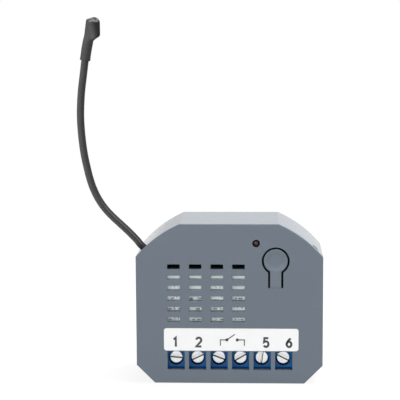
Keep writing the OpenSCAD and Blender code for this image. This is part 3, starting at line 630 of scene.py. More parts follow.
@dataclass(frozen=True)
class Jacket(Finish):
    """Soft extruded jacket, lighter on its left side by painted light, with faint lengthwise streaks and
    dust.
    """

    left_light: float = 4.6
    left_lit: Span = (-1.0, 0.8)
    shine: float = 0.15
    streak: float = 0.3 * MM
    streak_stretch: Point3 = (1.0, 1.0, 0.08)
    streak_weight: float = 0.3
    streak_tint: float = 0.6
    painted_line_weight: float = 0.0
    painted_line_top: float = 44 * MM
    painted_line_fade: float = 4 * MM
    highlight_at: float = 0.66
    highlight_edge: Span = (0.1, 0.4)
    highlight_tint: float = 3.5
    shade_line_at: float = 0.12
    shade_line_edge: Span = (0.05, 0.35)
    shade_line_tint: float = 0.3
    notch_shade_weight: float = 0.0
    notch_shade: Span = (31.8 * MM, 33.2 * MM)
    notch_shade_tint: float = 0.4
    skin: float = 0.12 * MM
    skin_depth: float = 0.006 * MM
    dust: float = 0.7 * MM
    dusted: Span = (0.6, 0.85)
    dust_cover: float = 0.05
    dust_level: float = 0.5
    unevenness: Span = (0.12, 0.1)

    def pattern(self, graph: Graph) -> Dict[str, Any]:
        """Painted light on the left, streaks and dust, and at the foot a painted highlight line, a painted
        shade line and painted shade at its end.

        Args:
            graph: The material's nodes.

        Returns:
            Values and links of the shader, by socket name.
        """
        place = graph.place()
        nx, _, nz = graph.axes(graph.node("ShaderNodeNewGeometry", out="Normal"))
        height = graph.axes(place)[2]
        streaks = graph.noise(self.streak, SOFT, graph.stretched(place, self.streak_stretch))
        skin = graph.noise(self.skin, FINE, place)
        dust = graph.noise(self.dust, FINE, place).ramp(*self.dusted)
        low = 1 - height.ramp(self.painted_line_top - self.painted_line_fade, self.painted_line_top)
        # Painted highlight: a pale line down the lead's foot, on the side that would catch the light.
        line = low * (1 - abs(nx + nz - self.highlight_at).ramp(*self.highlight_edge))
        # Painted shade: a dark line down the lead's foot beside the painted highlight.
        shade_line = low * (1 - abs(nx + nz - self.shade_line_at).ramp(*self.shade_line_edge))
        # Painted light: lighter where the surface faces left, darker where it faces right.
        base = self.shaded(graph, nx.ramp(*self.left_lit), (self.left_light, 1.0))
        for weight, mask, factor in (
                (self.streak_weight, streaks, self.streak_tint),
                (self.painted_line_weight, line, self.highlight_tint),
                (self.painted_line_weight, shade_line, self.shade_line_tint),
                # Painted shade: darker low down, where the lead sits in the notch.
                (self.notch_shade_weight, 1 - height.ramp(*self.notch_shade), self.notch_shade_tint)):
            base = graph.mix(weight * mask, base, tint(self.colour, factor))
        by_streaks, by_skin = self.unevenness
        return {
            "Base Color": graph.mix(self.dust_cover * dust, base, grey(self.dust_level)),
            "Specular IOR Level": self.shine,
            "Roughness": self.roughness + by_streaks * (streaks - MEAN) + by_skin * (skin - MEAN),
            "Normal": graph.bump(skin, self.skin_depth),
        }


@dataclass(frozen=True)
class ShrunkSleeve(Jacket):
    """Heat-shrunk sleeve with a painted highlight along the ridge of its pinched end, painted shade right of
    it, and a pale cut.

    The antenna sets its foot, its lean in degrees, and how far up it the pinched end starts.
    """

    foot: Point2 = (0.0, 0.0)
    lean: float = 0.0
    kink: float = 0.0
    pinch: Span = (-0.6 * MM, 0.3 * MM)
    fold_start: float = 0.9 * MM
    fold_fall: float = 0.41
    ridge_light_at: float = 0.2 * MM
    ridge_light_half: float = 1.1 * MM
    ridge_light_tint: float = 2.6
    dark: Span = (0.8 * MM, 1.9 * MM)
    facet_shade_cover: float = 0.8
    facet_shade_tint: float = 0.25
    end_colour: Colour = (0.055, 0.055, 0.056)
    end_up: Span = (0.55, 0.75)
    tear: float = 0.7 * MM
    torn: Span = (0.35, 0.65)
    torn_shades: Span = (0.4, 3.0)
    wrinkle: float = 1.1 * MM
    wrinkle_stretch: Point3 = (1.0, 1.0, 0.3)
    wrinkle_depth: float = 0.05 * MM

    def pattern(self, graph: Graph) -> Dict[str, Any]:
        """The jacket's pattern with shrink wrinkles, the painted ridge highlight and facet shade, and the
        cut end.

        Args:
            graph: The material's nodes.

        Returns:
            Values and links of the shader, by socket name.
        """
        made = super().pattern(graph)
        place = graph.place()
        x, _, z = graph.axes(place)
        right, up = math.cos(math.radians(self.lean)), math.sin(math.radians(self.lean))
        along = (x - self.foot[0]) * up + (z - self.foot[1]) * right - self.kink
        across = (x - self.foot[0]) * right - (z - self.foot[1]) * up
        off = across + self.fold_fall * along - self.fold_start
        pinched = along.ramp(*self.pinch)
        # Painted highlight: a pale band along the ridge of the pinched end.
        pale = pinched * (1 - abs(off - self.ridge_light_at).ramp(0.0, self.ridge_light_half))
        # Painted shade: the pinched end darkens right of the ridge.
        dark = pinched * off.ramp(*self.dark)
        body = graph.mix(pale, made["Base Color"], tint(self.colour, self.ridge_light_tint))
        body = graph.mix(self.facet_shade_cover * dark, body, tint(self.colour, self.facet_shade_tint))
        end = graph.axes(graph.node("ShaderNodeNewGeometry", out="Normal"))[2].ramp(*self.end_up)
        torn = graph.noise(self.tear, FINE, place).ramp(*self.torn)
        cut = graph.mix(torn, *(tint(self.end_colour, factor) for factor in self.torn_shades))
        wrinkle = graph.noise(self.wrinkle, SOFT, graph.stretched(place, self.wrinkle_stretch))
        made["Base Color"] = graph.mix(end, body, cut)
        made["Normal"] = graph.bump(wrinkle, self.wrinkle_depth)
        return made


@dataclass(frozen=True)
class PrintedCase(Finish):
    """Relay case whose pale front carries rows of worn print and a painted shadow at its upper edge; its
    sides are painted dark as shade.
    """

    front_y: float = -7.8 * MM
    front_t: float = 0.05 * MM
    row_count: int = 4
    row_z: float = 15.05 * MM
    row_pitch: float = 2.5 * MM
    row_h: float = 1.1 * MM
    wear: float = 0.09
    bar: float = 0.42 * MM
    bar_stretch: Point3 = (1.0, 0.0, 0.5)
    barred: Span = (0.52, 0.60)
    gap: float = 2.6 * MM
    gapped: Span = (0.38, 0.5)
    dash: float = 1.1 * MM
    dash_stretch: Point3 = (1.0, 0.0, 0.3)
    dashed: Span = (0.47, 0.57)
    dash_down: float = 0.38 * MM
    dash_half: float = 0.18 * MM
    covers: Span = (0.7, 0.85)
    ink: Colour = (0.05, 0.06, 0.05)
    top_shadow_z: float = 24.93 * MM
    top_shadow_fade: float = 0.2 * MM
    top_shadow_tint: float = 0.3
    painted_shade_sides: Colour = (0.035, 0.038, 0.040)
    cloud: float = 4 * MM
    shades: Span = (0.95, 1.02)
    unevenness: float = 0.1

    def pattern(self, graph: Graph) -> Dict[str, Any]:
        """Broken upright bars in each row and dashes under all but the top one, without any letters.

        Args:
            graph: The material's nodes.

        Returns:
            Values and links of the shader, by socket name.
        """
        place = graph.place()
        _, y, z = graph.axes(place)
        rows = [self.row_z + index * self.row_pitch for index in range(self.row_count)]
        worn = self.wear * z.ramp(rows[0], rows[-1])
        bars = graph.noise(self.bar, SMOOTH, graph.stretched(place, self.bar_stretch)) - worn
        gaps = graph.noise(self.gap, SMOOTH, place)
        dashes = graph.noise(self.dash, SMOOTH, graph.stretched(place, self.dash_stretch)) - worn
        band: Operand = 0.0
        foot: Operand = 0.0
        for row in rows:
            band = (abs(z - row) < 0.5 * self.row_h) + band
        for row in rows[:-1]:
            foot = (abs(z - (row - self.dash_down)) < self.dash_half) + foot
        bits = bars.ramp(*self.barred) * gaps.ramp(*self.gapped) * band
        of_bits, of_dashes = self.covers
        ink = bits.math("MAXIMUM", of_bits * bits, of_dashes * (dashes.ramp(*self.dashed) * foot))
        front = abs(y - self.front_y) < self.front_t
        clouds = graph.noise(self.cloud, SOFT, place)
        printed = graph.mix(ink, self.shaded(graph, clouds, self.shades), self.ink)
        # Painted shadow: the pale front darkens towards its upper edge.
        edge = z.ramp(self.top_shadow_z, self.top_shadow_z + self.top_shadow_fade)
        face = graph.mix(edge, printed, tint(self.colour, self.top_shadow_tint))
        return {
            # Painted shade: all faces but the front take the dark side colour.
            "Base Color": graph.mix(front, self.painted_shade_sides, face),
            "Roughness": self.roughness + self.unevenness * clouds,
        }


@dataclass(frozen=True)
class TintedLens(Finish):
    """Dark tinted lamp lens, clear-coated, deeper in colour towards its foot."""

    tip_y: float = -9.8 * MM
    fade: float = 1.6 * MM
    shades: Span = (1.6, 0.5)
    swirl: float = 0.4 * MM
    unevenness: float = 0.08
    coat: float = 0.5
    coat_roughness: float = 0.06

    def pattern(self, graph: Graph) -> Dict[str, Any]:
        """Colour by depth, with a coat over it.

        Args:
            graph: The material's nodes.

        Returns:
            Values and links of the shader, by socket name.
        """
        place = graph.place()
        depth = graph.axes(place)[1].ramp(self.tip_y, self.tip_y + self.fade)
        swirl = graph.noise(self.swirl, SOFT, place)
        return {
            "Base Color": self.shaded(graph, depth, self.shades),
            "Roughness": self.roughness + self.unevenness * swirl,
            "Coat Weight": self.coat,
            "Coat Roughness": self.coat_roughness,
        }


@dataclass(frozen=True)
class BandedBody(Finish):
    """Coated component body; each marking band has its start and end in depth, and its colour."""

    bands: Tuple[Tuple[float, float, Colour], ...] = ()
    cloud: float = 1.5 * MM
    shades: Span = (0.85, 1.15)
    unevenness: float = 0.1

    def pattern(self, graph: Graph) -> Dict[str, Any]:
        """A band of its own colour between each pair of depths.

        Args:
            graph: The material's nodes.

        Returns:
            Values and links of the shader, by socket name.
        """
        place = graph.place()
        y = graph.axes(place)[1]
        clouds = graph.noise(self.cloud, FINE, place)
        colour = self.shaded(graph, clouds, self.shades)
        for start, end, band in self.bands:
            colour = graph.mix((y > start) * (y < end), colour, band)
        return {"Base Color": colour, "Roughness": self.roughness + self.unevenness * clouds}


class Tone(Enum):
    """Finishes of the module."""

    HOUSING_GREY = MouldedPlastic("housing_grey", (0.114, 0.141, 0.172), 0.40, scuffs=0.12, shine=0.6)
    LABEL_WHITE = Paper("label_white", (0.872, 0.872, 0.877), 0.5)
    PRINT = Ink("print", (0.058, 0.058, 0.062), 0.55)
    TERMINAL_BLUE = WelledPlastic("terminal_blue", (0.006, 0.078, 0.242), 0.4, grain=0.1 * MM,
                                  grain_depth=0.004 * MM, mottle=0.12, shine=0.25)
    SCREW_ZINC = TurnedZinc("screw_zinc", (0.82, 0.835, 0.85), 0.32)
    CAGE_ZINC = PlatedMetal("cage_zinc", (0.72, 0.73, 0.74), 0.32)
    BAR_TIN = PlatedMetal("bar_tin", (0.70, 0.69, 0.66), 0.36)
    TINNED_LEAD = PlatedMetal("tinned_lead", (0.70, 0.69, 0.66), 0.34, along=(1.0, 0.06, 1.0))
    BOARD_GREEN = SolderMask("board_green", (0.004, 0.034, 0.017), 0.35)
    LENS_RED = TintedLens("lens_red", (0.012, 0.003, 0.003), 0.2)
    BLACK_PLASTIC = MouldedPlastic("black_plastic", (0.016, 0.016, 0.017), 0.5, grain=0.12 * MM)
    RELAY_PALE = PrintedCase("relay_pale", (0.87, 0.955, 0.98), 0.45)
    BOBBIN_PALE = MouldedPlastic("bobbin_pale", (0.62, 0.62, 0.55), 0.5)
    COIL_COPPER = Winding("coil_copper", (0.60, 0.20, 0.07), 0.3)
    CHOKE_COPPER = Winding("choke_copper", (0.55, 0.18, 0.06), 0.3, axis=Axis.DEPTH, wire=0.25 * MM)
    SOFT_IRON = PlatedMetal("soft_iron", (0.55, 0.55, 0.56), 0.4)
    CONTACT_BRONZE = PlatedMetal("contact_bronze", (0.60, 0.33, 0.14), 0.3)
    SHIELD_STEEL = PlatedMetal("shield_steel", (0.70, 0.71, 0.72), 0.3, along=(0.05, 1.0, 1.0), tarnish=0.2)
    ANTENNA_BLACK = Jacket("antenna_black", (0.027, 0.027, 0.028), 0.5, painted_line_weight=0.6, notch_shade_weight=0.84)
    SLEEVE_BLACK = ShrunkSleeve("sleeve_black", (0.029, 0.029, 0.030), 0.5, left_light=4.0)
    CAPACITOR_SLEEVE = BandedBody("capacitor_sleeve", (0.012, 0.014, 0.03), 0.3,
                                  bands=((-7.4 * MM, -7.0 * MM, (0.5, 0.5, 0.52)),))
    FERRITE = MouldedPlastic("ferrite", (0.02, 0.02, 0.022), 0.6, grain=0.1 * MM, grain_depth=0.02 * MM)
    # Painted shade: the film capacitor is made near black so that it looks dark through the button's slot.
    FILM_AMBER = MouldedPlastic("film_amber", (0.03, 0.012, 0.005), 0.35, grain=0.2 * MM,
                                grain_depth=0.004 * MM)
    VARISTOR_BLUE = BandedBody("varistor_blue", (0.02, 0.07, 0.22), 0.35)
    RESISTOR_GREEN = BandedBody("resistor_green", (0.10, 0.20, 0.10), 0.4, bands=(
        (-3.2 * MM, -2.6 * MM, (0.02, 0.02, 0.02)),
        (-2.0 * MM, -1.4 * MM, (0.30, 0.02, 0.02)),
        (-0.8 * MM, -0.2 * MM, (0.45, 0.30, 0.04))))


def show(piece: bpy.types.Object, finish: Finish, body: str,
         replaces: Sequence[str] = ()) -> bpy.types.Object:
    """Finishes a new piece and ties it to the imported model.

    Args:
        piece: The piece.
        finish: Its finish.
        body: The body it rides on.
        replaces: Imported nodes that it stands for.

    Returns:
        The piece.
    """
    finish.dress(piece)
    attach(piece, body)
    if replaces:
        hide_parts(*replaces)
    LOG.info("%s: rides on %s", piece.name, body)
    return piece


def mesh_object(name: str, vertices: Iterable[Sequence[float]], faces: Iterable[Sequence[int]],
                smooth_angle: float = 35.0) -> bpy.types.Object:
    """Links a new mesh object.

    Args:
        name: Name of the piece.
        vertices: Points in metres.
        faces: Corner numbers of each face.
        smooth_angle: Edges below this angle, in degrees, are shaded smooth.

    Returns:
        The object.
    """
    mesh = bpy.data.meshes.new(name)
    mesh.from_pydata([tuple(v) for v in vertices], [], [tuple(f) for f in faces])
    work = bmesh.new()
    work.from_mesh(mesh)
    bmesh.ops.recalc_face_normals(work, faces=work.faces[:])
    limit = math.radians(smooth_angle)
    for face in work.faces:
        face.smooth = True
    for edge in work.edges:
        edge.smooth = len(edge.link_faces) == 2 and edge.calc_face_angle(0.0) < limit
    work.to_mesh(mesh)
    work.free()
    made = bpy.data.objects.new(name, mesh)
    bpy.context.scene.collection.objects.link(made)
    return made


def soften(node: bpy.types.Object, width: float, flats: bool = True, segments: int = 2) -> None:
    """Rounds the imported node's sharp edges by modifiers, its own mesh left as it is.

    Args:
        node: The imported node.
        width: Width of the rounding in metres.
        flats: Whether the triangles of each flat are joined first.
        segments: Steps across the rounding.
    """
    weld = node.modifiers.new("join", "WELD")
    weld.merge_threshold = JOIN
    if flats:
        flat = node.modifiers.new("flats", "DECIMATE")
        flat.decimate_type = "DISSOLVE"
        flat.angle_limit = math.radians(FLAT_ANGLE)
    edge = node.modifiers.new("edges", "BEVEL")
    edge.width = width
    edge.segments = segments
    edge.limit_method = "ANGLE"
    edge.angle_limit = math.radians(SHARP_ANGLE)
    edge.use_clamp_overlap = True
    edge.harden_normals = True


@dataclass(frozen=True)
class Lamp:
    """A soft square lamp: where it hangs and its side in metres, its power in watts."""

    name: str
    place: Point3
    side: float
    power: float
    mirrored: bool = False

    def hang(self, target: Point3) -> None:
        """Hangs the lamp, and hides it from glossy surfaces unless it is mirrored.

        Args:
            target: The point that it faces.
        """
        data = bpy.data.lights.new(self.name, "AREA")
        data.size = self.side
        data.energy = self.power
        made = bpy.data.objects.new(self.name, data)
        made.location = self.place
        made.rotation_euler = (Vector(target) - Vector(self.place)).to_track_quat("-Z", "Y").to_euler()
        made.visible_glossy = self.mirrored
        bpy.context.scene.collection.objects.link(made)


@dataclass
class Studio:
    """Camera, floor, white surround, and lamps overhead, by the camera and round the object.

    Angles are in degrees. The camera's focal length is in pixels of the picture.
    """

    azimuth: float = 2.602
    elevation: float = 7.873
    roll: float = -0.317
    distance: float = 325.286 * MM
    focal_px: float = 1377.993
    picture_px: int = 400
    sensor_mm: float = 36.0
    clip: Span = (0.01, 20.0)
    target: Point3 = (-7.085 * MM, 0.0, 41.688 * MM)
    white: Colour = (1.0, 1.0, 1.0)
    sky: float = 0.15
    left_dim: float = 0.5
    left_fade: Span = (-0.3, -0.05)
    floor_half: float = 3.0
    floor_z: float = -0.05 * MM
    floor_mottle: float = 0.3
    floor_levels: Span = (0.24, 0.28)
    floor_seen: float = 0.92
    shadow_share: float = 0.12
    shadow_fade: Span = (0.06, 0.4)
    lit_point: Point3 = (0.0, 0.0, 30 * MM)
    lamps: Tuple[Lamp, ...] = (
        Lamp("overhead", (0.18, 0.02, 0.72), 0.5, 8.4),
        Lamp("front_fill", (0.0, -0.79, 0.16), 0.24, 3.25),
        Lamp("front_glow", (-0.38, -0.66, 0.34), 0.55, 1.65, mirrored=True),
        Lamp("left_fill", (-0.80, -0.08, 0.25), 0.4, 0.3),
        Lamp("right_fill", (0.80, 0.05, 0.28), 0.4, 2.4),
        Lamp("rear_fill", (0.15, 0.80, 0.30), 0.4, 2.4))

    def camera(self) -> bpy.types.Object:
        """Sets the camera where the picture was taken from.

        Returns:
            The camera.
        """
        az, el, roll = (math.radians(v) for v in (self.azimuth, self.elevation, self.roll))
        back = Vector((math.sin(az) * math.cos(el), -math.cos(az) * math.cos(el), math.sin(el)))
        side = Vector((0, 0, 1)).cross(back).normalized()
        rise = back.cross(side)
        right = math.cos(roll) * side + math.sin(roll) * rise
        up = math.cos(roll) * rise - math.sin(roll) * side
        data = bpy.data.cameras.new("picture_camera")
        data.sensor_width = self.sensor_mm
        data.lens = self.sensor_mm * self.focal_px / self.picture_px
        data.clip_start, data.clip_end = self.clip
        made = bpy.data.objects.new("picture_camera", data)
        turn = Matrix((right, up, back)).transposed().to_4x4()
        made.matrix_world = Matrix.Translation(Vector(self.target) + self.distance * back) @ turn
        bpy.context.scene.collection.objects.link(made)
        bpy.context.scene.camera = made
        return made

    @staticmethod
    def seen(graph: Graph) -> Sock:
        """Tells the rays that show the background itself from those that light the object.

        Args:
            graph: The nodes that ask.

        Returns:
            1 for camera, glossy and transmission rays.
        """
        path = graph.node("ShaderNodeLightPath", out="Is Camera Ray")
        either = path.math("MAXIMUM", path, path.at("Is Glossy Ray"))
        return path.math("MAXIMUM", either, path.at("Is Transmission Ray"))

    def surround(self) -> None:
        """Makes the world white to look at, greyer on the left when mirrored, otherwise a soft light."""
        world = bpy.data.worlds.new("white_surround")
        bpy.context.scene.world = world
        world.use_nodes = True
        graph = Graph(world.node_tree)
        soft = graph.node("ShaderNodeBackground", None, {"Color": self.white, "Strength": self.sky})
        white = graph.node("ShaderNodeBackground", None, {"Color": self.white, "Strength": 1.0})
        aside = graph.axes(graph.node("ShaderNodeTexCoord", out="Generated"))[0]
        glossy = graph.node("ShaderNodeLightPath", out="Is Glossy Ray")
        dim = self.left_dim * (glossy * (1 - aside.ramp(*self.left_fade)))
        both = graph.node("ShaderNodeMixShader", None, {0: self.seen(graph) * (1 - dim), 1: soft, 2: white})
        graph.node("ShaderNodeOutputWorld", None, {"Surface": both})

    def floor(self) -> bpy.types.Object:
        """Lays a wide pale floor that keeps a faint shadow.

        Returns:
            The floor.
        """
        half = self.floor_half
        outline = ((-half, -half), (half, -half), (half, half), (-half, half))
        corners = [(x, y, self.floor_z) for x, y in outline]
        made = mesh_object("pale_floor", corners, [(0, 1, 2, 3)])
        material = bpy.data.materials.new("pale_floor")
        material.use_nodes = True
        graph = Graph(material.node_tree)
        x, y, _ = graph.axes(graph.place())
        away = ((x * x + y * y) ** 0.5).ramp(*self.shadow_fade)
        seen = self.seen(graph)
        pale = graph.mix(graph.noise(self.floor_mottle, SOFT), *(grey(level) for level in self.floor_levels))
        shade = graph.mix(seen, pale, grey(self.floor_seen))
        paper = graph.node("ShaderNodeBsdfDiffuse", None, {"Color": shade})
        white = graph.node("ShaderNodeEmission", None, {"Color": self.white, "Strength": 1.0})
        shown = seen * (1 - self.shadow_share * (1 - away))
        both = graph.node("ShaderNodeMixShader", None, {0: shown, 1: paper, 2: white})
        graph.node("ShaderNodeOutputMaterial", None, {"Surface": both})
        made.data.materials.append(material)
        return made

    def build(self) -> None:
        """Sets the view transform and makes everything round the object."""
        bpy.context.scene.view_settings.view_transform = "Standard"
        self.surround()
        self.floor()
        for lamp in self.lamps:
            lamp.hang(self.lit_point)
        LOG.info("studio: floor, surround and %d lamps", len(self.lamps))


@dataclass
class Antenna:
    """Free wire antenna that leaves by the left shoulder notch and ends in a pinched sleeve.

    Angles are in degrees. The places of the lead and the rows of the sleeve's profile are in millimetres:
    a row holds its height, how far it reaches past the round sleeve on the left and right, and its flatness.
    """

    lead_r: float = 0.86 * MM
    lead_sides: int = 6
    lead_steps: int = 8
    places: Tuple[Point2, ...] = (
        (-1.5, 1.7), (-3.3, 3.6), (-5.3, 5.5), (-7.2, 7.3), (-8.9, 9.2), (-10.3, 11.3),
        (-11.4, 13.6), (-12.2, 16.0), (-12.8, 18.5), (-13.4, 21.5), (-13.8, 24.5), (-14.05, 27.5),
        (-14.15, 30.5), (-14.05, 33.5), (-13.8, 36.5), (-13.4, 39.5), (-12.9, 43.2))
    lean: float = 8.5
    bore: float = 3.6 * MM
    bore_gap: float = 0.02 * MM
    mouth: float = 2.0 * MM
    sleeve_r: float = 1.2 * MM
    sleeve_corners: int = 48
    sleeve_smooth: float = 40.0
    profile: Tuple[Tuple[float, float, float, float], ...] = (
        (0.00, -0.08, -0.08, 0.0), (0.10, 0.00, 0.00, 0.0), (1.20, -0.02, -0.02, 0.0),
        (2.60, -0.02, 0.02, 0.0), (3.80, -0.08, 0.08, 0.03), (4.65, -0.14, 0.12, 0.15),
        (5.20, -0.20, 0.58, 0.45), (5.68, -0.24, 1.14, 0.75), (6.10, -0.26, 1.46, 0.9),
        (6.80, -0.24, 1.38, 1.0), (7.80, -0.23, 1.23, 1.0), (8.80, -0.23, 1.07, 1.0),
        (9.30, -0.26, 0.97, 1.0))
    kink: float = 5.2 * MM
    pinch_back: float = 0.70 * MM
    pinch_front: float = 0.36 * MM
    back_lean: float = 0.45
    front_lean: float = 0.35
    ridge: float = 0.40 * MM
    ridge_half: float = 0.8 * MM
    ridge_fall: float = 0.8
    ridge_x: Span = (1.0 * MM, -0.9 * MM)
    cut_slope: float = 1.0
    body_half: float = 21.6 * MM
    arc_r: float = 28.2 * MM
    arc_z: float = 11.7 * MM
    notch_up: float = 5.0
    depth: float = -7.48 * MM
    board_y: float = 1.9 * MM
    tail_foot: Point2 = (-14.552 * MM, 27.966 * MM)
    out: Vector = field(init=False)
    exit: Vector = field(init=False)

    def __post_init__(self) -> None:
        """Works out where the lead leaves the housing."""
        notch = math.degrees(math.asin(self.body_half / self.arc_r)) - self.notch_up
        self.out = self.heading(notch)
        self.exit = Vector((0.0, self.depth, self.arc_z)) + self.arc_r * self.out

    @staticmethod
    def heading(angle: float) -> Vector:
        """Direction that leans left of upright by an angle in degrees."""
        return Vector((-math.sin(math.radians(angle)), 0.0, math.cos(math.radians(angle))))

    def route(self) -> List[Vector]:
        """Centreline of the free lead, up to its end inside the sleeve.

        Returns:
            The same points as the part's source has.
        """
        outside = [self.exit + MM * Vector((x, 0.0, z)) for x, z in self.places]
        end = outside[-1] + self.bore * self.heading(-self.lean)
        return [self.exit, self.exit + self.lead_r * self.out, *outside, end]

    def tail_route(self) -> List[Vector]:
        """Centreline of the lead inside the case, from the board to the notch.

        Returns:
            The same points as the part's source has, set out in radii of the lead.
        """
        x, z = self.tail_foot
        r = self.lead_r
        foot = Vector((x, self.board_y, z))
        knee = Vector((x, self.depth, z))
        return [
            foot, foot - Vector((0, 2 * r, 0)), foot - Vector((0, 5 * r, 0)),
            knee + r * Vector((-0.5, 4, 0.25)), knee + r * Vector((-1.6, 1.2, 0.5)),
            self.exit - 5 * r * self.out, self.exit - 2.5 * r * self.out, self.exit,
        ]

    def strand(self, name: str, points: Sequence[Vector]) -> bpy.types.Object:
        """Draws a round lead along points.

        Args:
            name: Name of the piece.
            points: Its centreline.

        Returns:
            The curve object.
        """
        data = bpy.data.curves.new(name, "CURVE")
        data.dimensions = "3D"
        data.bevel_depth = self.lead_r
        data.bevel_resolution = self.lead_sides
        data.resolution_u = self.lead_steps
        data.use_fill_caps = True
        spline = data.splines.new("BEZIER")
        spline.bezier_points.add(len(points) - 1)
        for knot, point in zip(spline.bezier_points, points):
            knot.co = point
            knot.handle_left_type = knot.handle_right_type = "AUTO"
        made = bpy.data.objects.new(name, data)
        bpy.context.scene.collection.objects.link(made)
        return made

    def sections(self) -> List[Tuple[float, float, float, float]]:
        """Height, left and right reach in metres, and flatness of each row: 0 is round, 1 is flat."""
        r = self.sleeve_r
        return [(h * MM, r + left * MM, r + right * MM, flat) for h, left, right, flat in self.profile]

    def section(self, row: Tuple[float, float, float, float], share: float, turn: float) -> Vector:
        """One point of the sleeve's skin.

        Args:
            row: Its row of sections().
            share: How far the row lies from the kink to the cut end, 0 to 1.
            turn: Angle round the axis, from the right over the back.

        Returns:
            The point, with the sleeve's axis upright.
        """
        height, left, right, flat = row
        u, v = math.cos(turn), math.sin(turn)
        x = 0.5 * (right - left) + 0.5 * (right + left) * u
        pinched = (self.pinch_back * (1 - u * u) * (1 + self.back_lean * u) if v > 0
                   else -self.pinch_front * (1 - u ** 4) * (1 - self.front_lean * u))
        y = (1 - flat) * self.sleeve_r * v + flat * pinched
        if v < 0:
            start, end = self.ridge_x
            off = abs(x - start - (end - start) * share)
            y += self.ridge * flat * (1 - self.ridge_fall * share) * v * math.exp(-off / self.ridge_half)
        return Vector((x, y, height + self.cut_slope * y * share ** 4))

    def sleeve(self, foot: Vector) -> bpy.types.Object:
        """Lofts the shrunk sleeve, its end pinched flat and cut off slanting.

        Args:
            foot: Middle of its lower end.

        Returns:
            The sleeve.
        """
        count = self.sleeve_corners
        turns = [2 * math.pi * corner / count for corner in range(count)]
        rows = self.sections()
        top = rows[-1][0]
        vertices: List[Vector] = []
        for row in rows:
            share = max(0.0, (row[0] - self.kink) / (top - self.kink))
            vertices += [self.section(row, share, turn) for turn in turns]
        bore_r = self.lead_r + self.bore_gap
        for height in (0.0, self.mouth):
            vertices += [Vector((bore_r * math.cos(t), bore_r * math.sin(t), height)) for t in turns]
        inner = len(rows) * count
        rings = [index * count for index in reversed(range(len(rows)))] + [inner, inner + count]
        faces: List[List[int]] = [[rings[0] + corner for corner in range(count)]]
        for low, high in zip(rings, rings[1:]):
            for corner in range(count):
                after = (corner + 1) % count
                faces.append([low + corner, low + after, high + after, high + corner])
        faces.append([rings[-1] + corner for corner in range(count)])
        lean = Matrix.Rotation(math.radians(self.lean), 4, "Y")
        return mesh_object("antenna_sleeve", [foot + lean @ v for v in vertices], faces, self.sleeve_smooth)

    def build(self) -> None:
        """Makes the lead, its tail inside the case and its sleeve."""
        points = self.route()
        foot = points[-2]
        length = sum((after - before).length for before, after in zip(points, points[1:]))
        lead = self.strand("antenna_wire", points)
        sleeve = self.sleeve(foot)
        tail = self.strand("antenna_wire_inside", self.tail_route())
        jacket = Tone.ANTENNA_BLACK.value
        shrunk = replace(Tone.SLEEVE_BLACK.value, foot=(foot.x, foot.z), lean=self.lean, kink=self.kink)
        show(lead, jacket, BODY, replaces=["antenna_lead"])
        show(sleeve, shrunk, BODY, replaces=["antenna_cap"])
        show(tail, jacket, BODY, replaces=["antenna_tail"])


@dataclass
class Housing:
    """Front cover, rear case and the button cut free in the cover."""

    edge: float = 0.12 * MM
    cover_gloss: float = 0.36
    button_light: float = 1.07

    def build(self) -> None:
        """Finishes the three mouldings and rounds the button's edges."""
        grey_finish = Tone.HOUSING_GREY.value
        # Painted light: the button's colour is lighter than the cover's, standing in for a sheen on its pad.
        button_lit_colour = tint(grey_finish.colour, self.button_light)
        finishes = {
            "front_cover": replace(grey_finish, name="housing_cover", grazing_gloss=self.cover_gloss),
            "rear_case": grey_finish,
            "button_tongue": replace(grey_finish, name="housing_button", colour=button_lit_colour),
        }
        for name, finish in finishes.items():
            finish.dress(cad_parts[name])
        soften(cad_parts["button_tongue"], self.edge)


